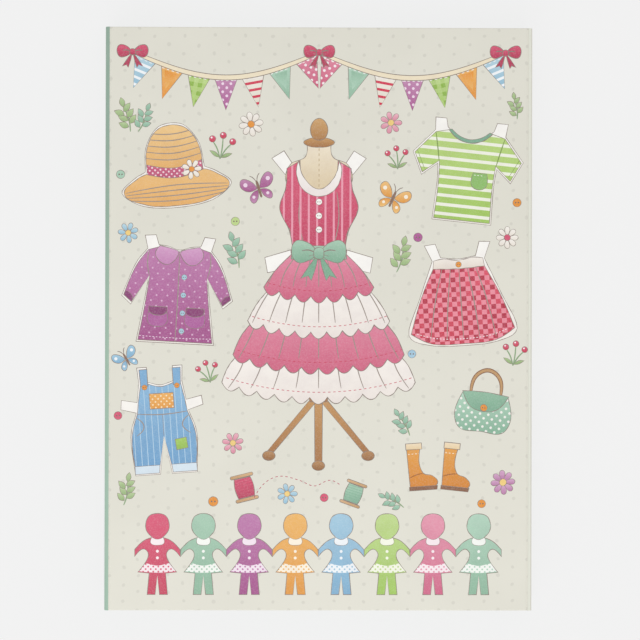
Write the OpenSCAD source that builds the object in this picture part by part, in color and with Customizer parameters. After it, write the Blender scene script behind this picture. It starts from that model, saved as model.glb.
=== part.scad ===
// Paper doll kit: a book-style board box that lies on its back, closed by a hinged cover with a
// magnetic flap. It holds two card dolls, their stand feet, sheets of press-out outfits and pencils.
// The spine is at -X, the flap at +X, the head of the cover at +Y, and the cover faces up.

/* [Case] */
// Depth of the closed box, from the back to the cover
box_d = 26; // [22:0.5:40]
// Thickness of the case boards
board_t = 2; // [1.6:0.1:3]
// Thickness of the covering paper
paper_t = 0.2; // [0.15:0.05:0.3]
// Thickness of the lining papers
lining_t = 0.2; // [0.15:0.05:0.3]
// How far the covering paper is turned in over the boards
turn_in = 8; // [4:1:10]
// Bare paper between a board's edge and a fold
hinge_gap = 1; // [0.5:0.1:2]
// How far the boards stand past the tray at head and tail
square_w = 1.5; // [0.5:0.5:4]
// Height of the flap's lower edge above the table
flap_foot = 0.6; // [0.3:0.1:2]

/* [Tray] */
// Thickness of the tray boards
tray_t = 1.6; // [1.4:0.1:2.4]
// Thickness of the paper stays that tie the tray's corners
stay_t = 0.2; // [0.1:0.05:0.3]
// Length of each leg of a corner stay
stay_leg = 12; // [8:1:20]
// Gap between the tray's rim and the closed cover
rim_gap = 0.2; // [0.1:0.05:0.5]
// Gap between the flap and the tray
flap_gap = 0.3; // [0.2:0.05:0.6]

/* [Magnets] */
// Diameter of the closing magnets
magnet_d = 10; // [8:1:12]
// Thickness of the closing magnets
magnet_t = 1.2; // [0.8:0.1:1.3]
// Distance from each magnet's centre to the nearer end of the box
magnet_inset = 72; // [40:1:110]
// Glue room round a magnet in its pocket
magnet_gap = 0.05; // [0.03:0.01:0.1]

/* [Outfits] */
// Thickness of the outfit card
sheet_t = 0.4; // [0.3:0.05:0.6]
// Width of one press-out garment
outfit_w = 89.6; // [60:0.2:120]
// Height of one press-out garment with its tabs
outfit_h = 84.2; // [60:0.2:110]
// Space between garments, and from them to the sheet's edge
outfit_gap = 8.5; // [4:0.5:15]
// Width of the die cut round a press-out garment
kerf = 0.3; // [0.2:0.05:0.5]
// Radius of an outfit sheet's corners
sheet_r = 4; // [2:0.5:8]
// Gap between an outfit sheet and the tray's sides
sheet_gap = 3; // [1:0.5:6]

/* [Dolls] */
// Height of a doll with its base
doll_h = 170; // [130:1:220]
// Width of a doll at its hands
doll_w = 84; // [70:1:110]
// Thickness of the doll card
doll_t = 1.6; // [1.2:0.1:2.4]
// Distance between the two stand slots in a doll's base
slot_pitch = 36; // [28:1:44]
// Room for the card in a stand slot
slot_gap = 0.2; // [0.1:0.05:0.4]
// Least gap between the loose pieces, and from them to the tray's sides
loose_gap = 6; // [4:0.5:10]

/* [Stands] */
// Radius of a half-round stand foot
foot_r = 20; // [16:1:26]

/* [Pencils] */
// Length of a pencil
pencil_len = 176; // [90:1:220]
// Width of a pencil across its flats
pencil_af = 7; // [6:0.25:8]
// Diameter of the coloured core
core_d = 3; // [2:0.25:3.5]
// Length of the sharpened point
point_len = 19; // [14:1:26]
// Space between neighbouring pencils
pencil_gap = 0.8; // [0.5:0.1:1.5]
// Glue room round a core in its casing
core_gap = 0.03; // [0.02:0.01:0.06]

/* [Hidden] */
SHEETS = 4;
COLUMNS = 2;
ROWS = 3;
FEET = 4;
PENCILS = 6;
GARMENTS = ["sun_hat", "t_shirt", "raincoat", "party_dress", "skirt", "dungarees"];
$fn = 64;

// Overrun of a cut past the face that it opens
cut_over = 1;
// Steps along each curved stretch of an outline
curve_steps = 5;

// Colours
cream = "#e2e0d3";
mint = "#9dc5ac";
board_grey = "#b3aca0";
card_white = "#f3f0e8";
kraft = "#b89569";
steel = "#b9bcc0";
sheet_colours = ["#d9e4ea", "#efe3cf", "#e6eedb", "#f1e2e6"];
garment_colours = ["#e9952f", "#a9cddd", "#a9cf63", "#b05a96", "#d95a86", "#7fa3c4"];
pencil_colours = ["#b05a96", "#d5304f", "#e9952f", "#a9cf63", "#9dc5ac", "#6fa6cf"];

// Contents: a stack of sheets, with the dolls, feet and pencils lying on the top one. The tray is
// made to the larger of the two, and the case to the tray
sheet_w = COLUMNS * outfit_w + (COLUMNS + 1) * outfit_gap;
sheet_h = ROWS * outfit_h + (ROWS + 1) * outfit_gap;
pencil_r = pencil_af / sqrt(3);
pencil_pitch = 2 * pencil_r + pencil_gap;
pencils_h = PENCILS * pencil_pitch;
loose_w = max(2 * doll_w + 3 * loose_gap, FEET * 2 * foot_r + (FEET + 1) * loose_gap,
              pencil_len + 2 * loose_gap);
loose_h = doll_h + foot_r + pencils_h + 4 * loose_gap;
in_w = max(sheet_w + 2 * sheet_gap, loose_w);
in_y = max(sheet_h / 2 + sheet_gap, loose_h / 2);

// Sections: each tray wall is wrap, stay, board and wrap again, and the paper turns round each
// corner of the case at the thickness of a covered board
side_t = paper_t + stay_t + tray_t + paper_t;
fold_r = board_t + paper_t;
lined_t = max(paper_t, lining_t);
box_w = fold_r + side_t + in_w + side_t + flap_gap + lined_t + fold_r;
box_h = 2 * (in_y + side_t + square_w);

// Case
half_w = box_w / 2;
half_h = box_h / 2;
fold_x = half_w - fold_r;
board_x = fold_x - hinge_gap;
board_y = half_h - paper_t;
cover_z = box_d - fold_r;
lining_y = half_h - turn_in;
flap_top = cover_z - hinge_gap;
back_top = paper_t + board_t;

// Tray, from the spine board to the flap's lining
rim_z = cover_z - lined_t - rim_gap;
tray_x0 = -fold_x;
tray_x1 = fold_x - lined_t - flap_gap;
tray_y = half_h - square_w;
wall_x0 = tray_x0 + paper_t + stay_t;
wall_x1 = tray_x1 - paper_t - stay_t;
wall_y = tray_y - paper_t - stay_t;
wall_top = rim_z - paper_t;
floor_top = back_top + tray_t;
in_x0 = tray_x0 + side_t;
in_x1 = tray_x1 - side_t;
in_mid = (in_x0 + in_x1) / 2;
in_z = floor_top + lining_t;

// Magnets: half way up the tray's wall
magnet_y = half_h - magnet_inset;
magnet_z = (floor_top + wall_top) / 2;

// Places of the loose pieces: dolls to the head, pencils to the tail, feet between them
loose_z = in_z + SHEETS * sheet_t;
doll_y = in_y - loose_gap - doll_h;
pencil_y = loose_gap - in_y;
foot_y = (doll_y + pencil_y + pencils_h - foot_r) / 2;

// A foot and a doll's base are slotted so that together they take up the foot's height
foot_slot_share = 0.6;
foot_slot = foot_r * foot_slot_share;
base_slot = foot_r - foot_slot;
slot_w = doll_t + slot_gap;

// Pencil: a hexagon cut by a cone, which bares the core where the two radii meet
core_r = core_d / 2;
core_bore_r = core_r + core_gap;
bare_len = point_len * core_bore_r / pencil_r;
// How far the cone's profile is carried past the hexagon's corners
cone_over_share = 1.2;

// Right half of each outline, from the bottom up: x as a share of half the width, y as a share of
// the height, and 1 at a corner or 0 on a curve
figure_half_shares = [
    [0.72, 0, 1], [0.72, 0.088, 1], [0.43, 0.102, 0], [0.38, 0.160, 0], [0.37, 0.250, 0],
    [0.41, 0.335, 0], [0.47, 0.400, 0], [0.46, 0.470, 0], [0.48, 0.535, 0], [0.64, 0.470, 0],
    [0.78, 0.398, 0], [0.93, 0.380, 0], [0.99, 0.420, 0], [0.90, 0.478, 0], [0.74, 0.565, 0],
    [0.56, 0.640, 0]];
bob_half_shares = concat(figure_half_shares, [
    [0.42, 0.668, 0], [0.62, 0.692, 0], [0.72, 0.760, 0], [0.70, 0.860, 0], [0.54, 0.950, 0],
    [0.28, 0.990, 0], [0, 1, 0]]);
bunches_half_shares = concat(figure_half_shares, [
    [0.40, 0.672, 0], [0.52, 0.700, 0], [0.70, 0.672, 0], [0.92, 0.690, 0], [0.98, 0.760, 0],
    [0.84, 0.822, 0], [0.68, 0.850, 0], [0.54, 0.950, 0], [0.28, 0.990, 0], [0, 1, 0]]);
sun_hat_half_shares = [
    [0, 0.18, 0], [0.60, 0.22, 0], [0.96, 0.36, 0], [0.74, 0.48, 0], [0.52, 0.54, 1],
    [0.47, 0.76, 0], [0.26, 0.93, 0], [0, 0.97, 0]];
t_shirt_half_shares = [
    [0.52, 0.05, 1], [0.50, 0.40, 0], [0.52, 0.57, 1], [0.78, 0.45, 1], [0.97, 0.66, 1],
    [0.62, 0.88, 1], [0.64, 1, 1], [0.44, 1, 1], [0.40, 0.92, 1], [0.22, 0.84, 0], [0, 0.81, 0]];
raincoat_half_shares = [
    [0.68, 0, 1], [0.58, 0.36, 0], [0.52, 0.60, 1], [0.80, 0.34, 1], [0.97, 0.42, 1],
    [0.76, 0.72, 0], [0.56, 0.87, 1], [0.62, 0.99, 1], [0.42, 1, 1], [0.36, 0.91, 1],
    [0.20, 0.90, 0], [0, 0.87, 0]];
party_dress_half_shares = [
    [0, 0.02, 0], [0.52, 0.03, 0], [0.96, 0.12, 0], [0.76, 0.36, 0], [0.34, 0.56, 1],
    [0.62, 0.62, 1], [0.60, 0.71, 1], [0.34, 0.66, 1], [0.40, 0.80, 0], [0.46, 0.92, 1],
    [0.50, 1, 1], [0.32, 1, 1], [0.28, 0.92, 1], [0.16, 0.82, 0], [0, 0.78, 0]];
skirt_half_shares = [
    [0, 0.04, 0], [0.58, 0.06, 0], [0.95, 0.17, 0], [0.72, 0.50, 0], [0.46, 0.84, 1],
    [0.58, 0.99, 1], [0.38, 1, 1], [0.30, 0.87, 1], [0, 0.85, 0]];
dungarees_half_shares = [
    [0, 0.34, 1], [0.10, 0, 1], [0.54, 0, 1], [0.58, 0.36, 0], [0.46, 0.58, 1], [0.72, 0.62, 1],
    [0.70, 0.71, 1], [0.43, 0.68, 1], [0.38, 0.85, 1], [0.40, 1, 1], [0.22, 1, 1],
    [0.22, 0.86, 1], [0, 0.83, 0]];
garment_half_shares = [sun_hat_half_shares, t_shirt_half_shares, raincoat_half_shares,
    party_dress_half_shares, skirt_half_shares, dungarees_half_shares];

// Middle of each garment on the sheet, row by row from the head
garment_places = [
    for (row = [0 : ROWS - 1])
        for (column = [0 : COLUMNS - 1])
            [(column - (COLUMNS - 1) / 2) * (outfit_w + outfit_gap),
             ((ROWS - 1) / 2 - row) * (outfit_h + outfit_gap)]];

// Outlines: a closed curve through points, straight between two corners
function at(p, i) = p[(i + len(p)) % len(p)];
function flat(v) = [v.x, v.y];
function chord(p, i, j) = flat(at(p, j)) - flat(at(p, i));
function slope(p, i, a, b) = at(p, i).z == 1 ? chord(p, a, b) : chord(p, i - 1, i + 1) / 2;
function hermite(a, b, sa, sb, t) =
    a * (2 * t ^ 3 - 3 * t ^ 2 + 1) + sa * (t ^ 3 - 2 * t ^ 2 + t)
    + b * (3 * t ^ 2 - 2 * t ^ 3) + sb * (t ^ 3 - t ^ 2);
function curve(p) = [
    for (i = [0 : len(p) - 1])
        let (straight = at(p, i).z == 1 && at(p, i + 1).z == 1, steps = straight ? 1 : curve_steps)
        for (k = [0 : steps - 1])
            hermite(flat(at(p, i)), flat(at(p, i + 1)), slope(p, i, i, i + 1),
                    slope(p, i + 1, i, i + 1), k / steps)];
function both_halves(half) = concat(half, [
    for (i = [len(half) - 1 : -1 : 0]) if (half[i].x > 0) [-half[i].x, half[i].y, half[i].z]]);
function sized(shares, w, h) = [for (s = shares) [s.x * w / 2, s.y * h, s.z]];
function outline(half_shares, w, h) = curve(sized(both_halves(half_shares), w, h));
function outward(p, i) = let (c = chord(p, i - 1, i + 1)) [c.y, -c.x] / norm(c);
function grown(p, d) = [for (i = [0 : len(p) - 1]) p[i] + d * outward(p, i)];
function garment(i) = [for (p = outline(garment_half_shares[i], outfit_w, outfit_h))
    p - [0, outfit_h / 2]];

// A block between two opposite corners
module block(low, high) {
    translate(low)
        cube(high - low);
}

// A section in X and Z, drawn out along the whole height of the box
module along_box() {
    rotate([90, 0, 0])
        linear_extrude(height = box_h, center = true)
            children();
}

// A quarter of the folded paper's section: quarters count from the upper right, anticlockwise
module fold_section(quarter) {
    rotate(90 * quarter)
        intersection() {
            difference() {
                circle(fold_r);
                circle(fold_r - paper_t);
            }
            square(fold_r);
        }
}

module magnet_disc(face_x, y, r) {
    translate([face_x, y, magnet_z])
        rotate([0, 90, 0])
            cylinder(h = magnet_t, r = r);
}

module back_board() {
    color(board_grey)
        block([-fold_x, -board_y, paper_t], [tray_x1 - paper_t, board_y, back_top]);
}

// The covering sheet under the back, turned up round the board's three free edges
module back_paper() {
    color(cream)
        difference() {
            block([-fold_x, -half_h, 0], [tray_x1, half_h, back_top]);
            block([-fold_x - cut_over, -board_y, paper_t],
                  [tray_x1 - paper_t, board_y, back_top + cut_over]);
        }
}

module spine_board() {
    color(board_grey)
        block([paper_t - half_w, -board_y, fold_r], [-fold_x, board_y, cover_z]);
}

// The covering sheet up the spine, with its lower fold, and over the board's two ends
module spine_paper() {
    color(mint) {
        along_box() {
            translate([-half_w, fold_r])
                square([paper_t, cover_z - fold_r]);
            translate([-fold_x, fold_r])
                fold_section(2);
        }
        for (y = [-half_h, board_y])
            block([-half_w, y, fold_r], [-fold_x, y + paper_t, cover_z]);
    }
}

module spine_fold() {
    color(mint)
        along_box()
            translate([-fold_x, cover_z])
                fold_section(1);
}

module front_board() {
    color(board_grey)
        block([-board_x, -board_y, cover_z], [board_x, board_y, cover_z + board_t]);
}

// The printed stretch of the covering sheet, turned in round the board at head and tail
module front_paper() {
    color(cream) {
        block([-fold_x, -half_h, box_d - paper_t], [fold_x, half_h, box_d]);
        for (side = [0, 1])
            mirror([0, side, 0]) {
                block([-board_x, board_y, cover_z - paper_t], [board_x, half_h, box_d]);
                block([-board_x, lining_y, cover_z - paper_t], [board_x, half_h, cover_z]);
            }
    }
}

module cover_lining() {
    color(mint)
        block([-board_x, -lining_y, cover_z - lining_t], [board_x, lining_y, cover_z]);
}

module flap_fold() {
    color(cream)
        along_box()
            translate([fold_x, cover_z])
                fold_section(0);
}

module flap_board() {
    color(board_grey)
        difference() {
            block([fold_x, -board_y, flap_foot + paper_t], [half_w - paper_t, board_y, flap_top]);
            for (y = [-magnet_y, magnet_y])
                magnet_disc(fold_x, y, magnet_d / 2 + magnet_gap);
        }
}

module flap_paper() {
    color(cream) {
        block([half_w - paper_t, -half_h, flap_foot], [half_w, half_h, cover_z]);
        block([fold_x - paper_t, -half_h, flap_foot], [half_w, half_h, flap_foot + paper_t]);
        block([fold_x - paper_t, -half_h, flap_foot], [fold_x, half_h, flap_foot + turn_in]);
        for (side = [0, 1])
            mirror([0, side, 0]) {
                block([fold_x - paper_t, board_y, flap_foot], [half_w, half_h, flap_top]);
                block([fold_x - paper_t, lining_y, flap_foot], [fold_x, half_h, flap_top]);
            }
    }
}

module flap_lining() {
    color(mint)
        block([fold_x - lining_t, -lining_y, flap_foot + turn_in], [fold_x, lining_y, flap_top]);
}

module flap_magnet(side) {
    color(steel)
        magnet_disc(fold_x, side * magnet_y, magnet_d / 2);
}

module tray_floor() {
    color(board_grey)
        block([wall_x0, -wall_y, back_top], [wall_x1, wall_y, floor_top]);
}

module tray_end_wall(side) {
    color(board_grey)
        mirror([0, side < 0 ? 1 : 0, 0])
            block([wall_x0, wall_y - tray_t, floor_top], [wall_x1, wall_y, wall_top]);
}

module tray_side_wall(x0) {
    block([x0, tray_t - wall_y, floor_top], [x0 + tray_t, wall_y - tray_t, wall_top]);
}

module tray_wall_spine() {
    color(board_grey)
        tray_side_wall(wall_x0);
}

module tray_wall_fore() {
    color(board_grey)
        difference() {
            tray_side_wall(wall_x1 - tray_t);
            for (y = [-magnet_y, magnet_y])
                magnet_disc(wall_x1 - magnet_t, y, magnet_d / 2 + magnet_gap);
        }
}

module tray_magnet(side) {
    color(steel)
        magnet_disc(wall_x1 - magnet_t, side * magnet_y, magnet_d / 2);
}

// Gummed paper angles round the four upright corners, under the wrap
module corner_stays() {
    color(kraft)
        for (side = [0, 1])
            mirror([0, side, 0]) {
                block([wall_x1 - stay_leg, wall_y, back_top],
                      [wall_x1 + stay_t, wall_y + stay_t, wall_top]);
                block([wall_x1, wall_y - stay_leg, back_top],
                      [wall_x1 + stay_t, wall_y + stay_t, wall_top]);
                block([wall_x0 - stay_t, wall_y, back_top],
                      [wall_x0 + stay_leg, wall_y + stay_t, wall_top]);
                block([wall_x0 - stay_t, wall_y - stay_leg, back_top],
                      [wall_x0, wall_y + stay_t, wall_top]);
            }
}

// Paper up the outside of the tray's walls, over the rim and down the inside to the floor
module tray_wrap() {
    color(mint)
        difference() {
            block([tray_x0, -tray_y, back_top], [tray_x1, tray_y, rim_z]);
            difference() {
                block([tray_x0 + paper_t, paper_t - tray_y, back_top - cut_over],
                      [tray_x1 - paper_t, tray_y - paper_t, wall_top]);
                block([in_x0 - paper_t, -in_y - paper_t, floor_top],
                      [in_x1 + paper_t, in_y + paper_t, wall_top + cut_over]);
            }
            block([in_x0, -in_y, floor_top], [in_x1, in_y, rim_z + cut_over]);
        }
}

module tray_lining() {
    color(mint)
        block([in_x0, -in_y, floor_top], [in_x1, in_y, in_z]);
}

module rounded_sheet() {
    square([sheet_w - 2 * sheet_r, sheet_h], center = true);
    square([sheet_w, sheet_h - 2 * sheet_r], center = true);
    for (x = [-1, 1])
        for (y = [-1, 1])
            translate([x * (sheet_w / 2 - sheet_r), y * (sheet_h / 2 - sheet_r)])
                circle(sheet_r);
}

// The sheets lie in a stack, and the top one is cut round its garments
module outfit_sheet(i) {
    color(sheet_colours[i - 1])
        translate([in_mid, 0, in_z + (i - 1) * sheet_t])
            linear_extrude(height = sheet_t)
                difference() {
                    rounded_sheet();
                    if (i == SHEETS)
                        for (k = [0 : len(GARMENTS) - 1])
                            translate(garment_places[k])
                                polygon(grown(garment(k), kerf));
                }
}

module press_out(k) {
    color(garment_colours[k])
        translate([in_mid, 0, loose_z - sheet_t])
            linear_extrude(height = sheet_t)
                translate(garment_places[k])
                    polygon(garment(k));
}

// A card figure with two slots in the lower edge of its base for the stand feet
module doll(half_shares, side) {
    color(card_white)
        translate([in_mid + side * in_w / 4, doll_y, loose_z])
            linear_extrude(height = doll_t)
                difference() {
                    polygon(outline(half_shares, doll_w, doll_h));
                    for (x = [-1, 1])
                        translate([(x * slot_pitch - slot_w) / 2, -cut_over])
                            square([slot_w, base_slot + cut_over]);
                }
}

// A half-round foot, slotted from the top of its arc
module stand_foot(i) {
    color(card_white)
        translate([in_x0 + (i - 0.5) * in_w / FEET, foot_y, loose_z])
            linear_extrude(height = doll_t)
                difference() {
                    intersection() {
                        circle(foot_r);
                        translate([-foot_r, 0])
                            square([2 * foot_r, foot_r]);
                    }
                    translate([-slot_w / 2, foot_r - foot_slot])
                        square([slot_w, foot_slot + cut_over]);
                }
}

// Pencils lie side by side across the tail of the tray, points towards the flap
module laid_pencil(i) {
    translate([in_mid - pencil_len / 2, (i - 0.5) * pencil_pitch + pencil_y,
               loose_z + pencil_af / 2])
        rotate([0, 90, 0])
            children();
}

module pencil_casing(i) {
    color(pencil_colours[i - 1])
        laid_pencil(i)
            intersection() {
                rotate(30)
                    cylinder(h = pencil_len, r = pencil_r, $fn = 6);
                rotate_extrude()
                    polygon([[core_bore_r, 0], [pencil_r * cone_over_share, 0],
                             [pencil_r * cone_over_share, pencil_len - point_len * cone_over_share],
                             [core_bore_r, pencil_len - bare_len]]);
            }
}

module pencil_core(i) {
    color(pencil_colours[i - 1])
        laid_pencil(i)
            rotate_extrude()
                polygon([[0, 0], [core_r, 0], [core_r, pencil_len - bare_len], [0, pencil_len]]);
}

back_board();
back_paper();
spine_board();
spine_paper();
spine_fold();
front_board();
front_paper();
cover_lining();
flap_fold();
flap_board();
flap_paper();
flap_lining();
flap_magnet(1);  // flap_magnet_head
flap_magnet(-1);  // flap_magnet_tail
tray_floor();
tray_end_wall(1);  // tray_wall_head
tray_end_wall(-1);  // tray_wall_tail
tray_wall_spine();
tray_wall_fore();
tray_magnet(1);  // tray_magnet_head
tray_magnet(-1);  // tray_magnet_tail
corner_stays();
tray_wrap();
tray_lining();
doll(bob_half_shares, -1);  // doll_with_bob
doll(bunches_half_shares, 1);  // doll_with_bunches
for (i = [1 : FEET])
    stand_foot(i);
for (i = [1 : SHEETS])
    outfit_sheet(i);
for (k = [0 : len(GARMENTS) - 1])
    press_out(k);
for (i = [1 : PENCILS])
    pencil_casing(i);
for (i = [1 : PENCILS])
    pencil_core(i);
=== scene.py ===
import math
from contextlib import contextmanager

import bpy
import numpy as np
from mathutils import Matrix, Vector
from mathutils.geometry import delaunay_2d_cdt, interpolate_bezier


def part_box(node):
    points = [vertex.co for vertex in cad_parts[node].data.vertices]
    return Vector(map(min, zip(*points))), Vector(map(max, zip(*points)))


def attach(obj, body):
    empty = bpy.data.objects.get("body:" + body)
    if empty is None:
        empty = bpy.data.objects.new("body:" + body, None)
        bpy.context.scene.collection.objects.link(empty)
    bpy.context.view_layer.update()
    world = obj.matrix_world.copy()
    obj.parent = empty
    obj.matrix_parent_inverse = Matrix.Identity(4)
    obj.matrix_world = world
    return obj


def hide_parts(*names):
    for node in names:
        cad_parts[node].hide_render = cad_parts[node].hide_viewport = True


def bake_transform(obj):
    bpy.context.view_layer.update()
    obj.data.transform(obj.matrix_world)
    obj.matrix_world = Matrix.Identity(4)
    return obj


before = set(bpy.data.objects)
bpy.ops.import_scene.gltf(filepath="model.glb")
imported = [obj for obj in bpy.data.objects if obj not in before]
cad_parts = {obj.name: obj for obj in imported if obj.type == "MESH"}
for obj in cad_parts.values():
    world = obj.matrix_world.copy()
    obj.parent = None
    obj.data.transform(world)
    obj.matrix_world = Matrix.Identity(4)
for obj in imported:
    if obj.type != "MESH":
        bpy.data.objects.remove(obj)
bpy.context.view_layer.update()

# Camera
# A long lens looks straight down on the closed cover, square to it but for a hair of tilt, swing
# and roll. The tail of the box lies towards the foot of the picture.
lens = 100.0
film_width = 36.0
picture_width = 0.32917
aim_x = 0.00067
aim_y = -0.00067
tilt = math.radians(0.25)
swing = math.radians(0.55)
roll = math.radians(0.127)
cover_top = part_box("front_paper")[1].z
distance = picture_width * lens / film_width
bpy.ops.object.select_all(action="DESELECT")
bpy.ops.object.camera_add(
    location=(aim_x - distance * math.sin(swing), aim_y - distance * math.sin(tilt), cover_top + distance),
    rotation=(tilt, -swing, roll),
)
camera = bpy.context.object
camera.data.lens = lens
camera.data.sensor_width = film_width
bpy.context.scene.camera = camera
bpy.context.scene.view_settings.view_transform = "Standard"


# Studio
# A plain pale floor under the box, an even white sky, and one large soft lamp over the tail.
# Sky and lamp together light a level surface so that a colour comes out as it is written.
def ink(code, share=1.0):
    """The colour of a paint code such as #9ec4ab as the shaders count it, or a darker share of it."""
    channels = [int(code[place:place + 2], 16) / 255 for place in (1, 3, 5)]
    linear = [c / 12.92 if c < 0.04045 else ((c + 0.055) / 1.055) ** 2.4 for c in channels]
    return (*(c * share for c in linear), 1.0)


class Paint:
    """One socket of a material. A sum written with it adds Math nodes to that material."""

    def __init__(self, tree, socket=None):
        self.tree = tree
        self.socket = socket

    def feed(self, socket, value):
        """Link a paint to a socket, or set the socket to a plain value."""
        if isinstance(value, Paint):
            self.tree.links.new(value.socket, socket)
        else:
            socket.default_value = value

    def node(self, kind, settings=None, inputs=None, output=0):
        """Add a node, set it up, feed its sockets, and give the paint of one of its outputs."""
        made = self.tree.nodes.new("ShaderNode" + kind)
        for name, value in (settings or {}).items():
            setattr(made, name, value)
        for name, value in (inputs or {}).items():
            self.feed(made.inputs[name], value)
        return Paint(self.tree, made.outputs[output])

    def math(self, operation, *values):
        """A sum of one or more values, by the name of a Math operation."""
        return self.node("Math", {"operation": operation}, dict(enumerate(values)))

    def __add__(self, other):
        return self.math("ADD", self, other)

    def __sub__(self, other):
        return self.math("SUBTRACT", self, other)

    def __rsub__(self, other):
        return self.math("SUBTRACT", other, self)

    def __mul__(self, other):
        return self.math("MULTIPLY", self, other)

    def __lt__(self, other):
        return self.math("LESS_THAN", self, other)

    def __gt__(self, other):
        return self.math("GREATER_THAN", self, other)

    __radd__ = __add__
    __rmul__ = __mul__

    def between(self, low, high):
        """0 where this value is at low or under, 1 at high or over, with a soft step between."""
        return self.node(
            "MapRange",
            {"interpolation_type": "SMOOTHSTEP"},
            {"Value": self, "From Min": low, "From Max": high},
        )

    def blend(self, nought, one, how="MIX"):
        """The colour nought where this value is 0, and one where it is 1."""
        # A Mix node keeps its two colours at inputs 6 and 7, and the mixed one at output 2.
        return self.node(
            "Mix", {"data_type": "RGBA", "blend_type": how}, {0: self, 6: nought, 7: one}, 2
        )

    def where(self):
        """The place on the piece, in metres."""
        return self.node("TexCoord", output="Object")

    def facing(self):
        """The way the surface faces."""
        return self.node("TexCoord", output="Normal")

    def part(self, axis):
        """The X, Y or Z part of a place or a way."""
        return self.node("SeparateXYZ", None, {"Vector": self}, axis)

    def noise(self, grain, detail=3.0, rough=0.5, stretch=(1, 1, 1), seed=(0, 0, 0)):
        """Soft random values from 0 to 1, about one grain apart, in metres."""
        scale = [share / grain for share in stretch]
        place = self.node("Mapping", None, {"Vector": self.where(), "Location": seed, "Scale": scale})
        return self.node(
            "TexNoise", None, {"Vector": place, "Scale": 1.0, "Detail": detail, "Roughness": rough}
        )


def new_finish(name, **constants):
    """A new material: its name, and what is the same all over set on the shader's own sockets."""
    made = bpy.data.materials.new(name)
    made.use_nodes = True
    shader = made.node_tree.nodes["Principled BSDF"]
    for socket, value in constants.items():
        shader.inputs[socket.replace("_", " ")].default_value = value
    return made, Paint(made.node_tree), shader.inputs


def in_view(paint):
    """1 for what the camera, a gloss or a clear surface sees, 0 for what only gets light."""
    kinds = ("Is Camera Ray", "Is Glossy Ray", "Is Transmission Ray")
    camera_ray, gloss_ray, clear_ray = (paint.node("LightPath", output=kind) for kind in kinds)
    return paint.math("MINIMUM", camera_ray + gloss_ray + clear_ray, 1.0)


sky_share = 0.74
lamp_watts = 9.4
lamp_width = 1.5
lamp_place = Vector((-0.25, -0.95, 1.40))
floor_ink = ink("#f2f2f2")
floor_glow = 0.9
floor_width = 8.0
world = bpy.data.worlds.new("studio")
world.use_nodes = True
backdrop = Paint(world.node_tree)
sky = backdrop.node("Background", None, {"Color": (1, 1, 1, 1), "Strength": sky_share})
far_wall = backdrop.node("Background", None, {"Color": floor_ink, "Strength": 1.0})
seen_sky = backdrop.node("MixShader", None, {0: in_view(backdrop), 1: sky, 2: far_wall})
backdrop.feed(world.node_tree.nodes["World Output"].inputs["Surface"], seen_sky)
bpy.context.scene.world = world
bpy.ops.object.light_add(type="AREA", location=lamp_place)
lamp = bpy.context.object
lamp.data.shape = "DISK"
lamp.data.size = lamp_width
lamp.data.energy = lamp_watts
lamp.rotation_euler = (-lamp_place).to_track_quat("-Z", "Y").to_euler()
bpy.ops.mesh.primitive_plane_add(size=floor_width, location=(0, 0, 0))
floor = bpy.context.object
floor.name = "studio_floor"
matt = {"Base_Color": floor_ink, "Roughness": 0.95, "Specular_IOR_Level": 0.1}
floor_paper, paint, sockets = new_finish("studio_floor", **matt)
glow = paint.node("Emission", None, {"Color": floor_ink, "Strength": 1.0})
lit = Paint(paint.tree, paint.tree.nodes["Principled BSDF"].outputs[0])
even_floor = paint.node("MixShader", None, {0: in_view(paint) * floor_glow, 1: lit, 2: glow})
paint.feed(paint.tree.nodes["Material Output"].inputs["Surface"], even_floor)
floor.data.materials.append(floor_paper)


# Boards of the case and the tray
# Solid grey pulp board, cut to size and glued under the papers. Its cut edges show
# pressed layers, and its face has dark and pale fibres.
def emboss(paint, sockets, height, depth):
    """Raise the surface by depth, in metres, where height goes from 0 to 1."""
    bump = paint.node("Bump", None, {"Height": height, "Distance": depth, "Strength": 1.0})
    paint.feed(sockets["Normal"], bump)


def dress(material, *nodes):
    """Give CAD nodes a material."""
    for node in nodes:
        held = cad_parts[node].data.materials
        held.clear()
        held.append(material)


greyboard, paint, sockets = new_finish("greyboard", Roughness=0.92)
fibres = paint.noise(0.0009, 4.0, 0.7, stretch=(1, 0.35, 1))
layers = paint.noise(0.0006, 2.0, 0.5, stretch=(0.05, 0.05, 1))
pulp = fibres.between(0.35, 0.7).blend(ink("#8f897f"), ink("#b3aca0"))
paint.feed(sockets["Base Color"], (layers.between(0.4, 0.7) * 0.35).blend(pulp, ink("#79736a")))
emboss(paint, sockets, fibres, depth=0.00006)
dress(greyboard, "back_board", "spine_board", "front_board", "flap_board", "tray_floor")
dress(greyboard, "tray_wall_head", "tray_wall_tail", "tray_wall_spine", "tray_wall_fore")

# Magnets
# Plated discs pressed into round pockets of the flap and of the tray's fore wall,
# under the papers. The plating is bright with fine turning marks.
nickel, paint, sockets = new_finish("magnet_nickel", Metallic=1.0)
marks = paint.noise(0.0005, 2.0, 0.6, stretch=(1, 0.2, 0.2))
paint.feed(sockets["Base Color"], marks.blend(ink("#b9b6b0"), ink("#d8d6d1")))
paint.feed(sockets["Roughness"], marks * 0.2 + 0.22)
dress(nickel, "flap_magnet_head", "flap_magnet_tail", "tray_magnet_head", "tray_magnet_tail")

# Corner stays
# Strips of gummed brown paper, creased round the tray's four corners before it is wrapped.
# Long fibres run along the strip.
stay_paper, paint, sockets = new_finish("stay_paper", Roughness=0.8)
threads = paint.noise(0.0012, 4.0, 0.65, stretch=(0.6, 0.6, 0.12))
paint.feed(sockets["Base Color"], threads.between(0.3, 0.7).blend(ink("#a98558"), ink("#c6a579")))
emboss(paint, sockets, threads, depth=0.00004)
dress(stay_paper, "corner_stays")


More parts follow.
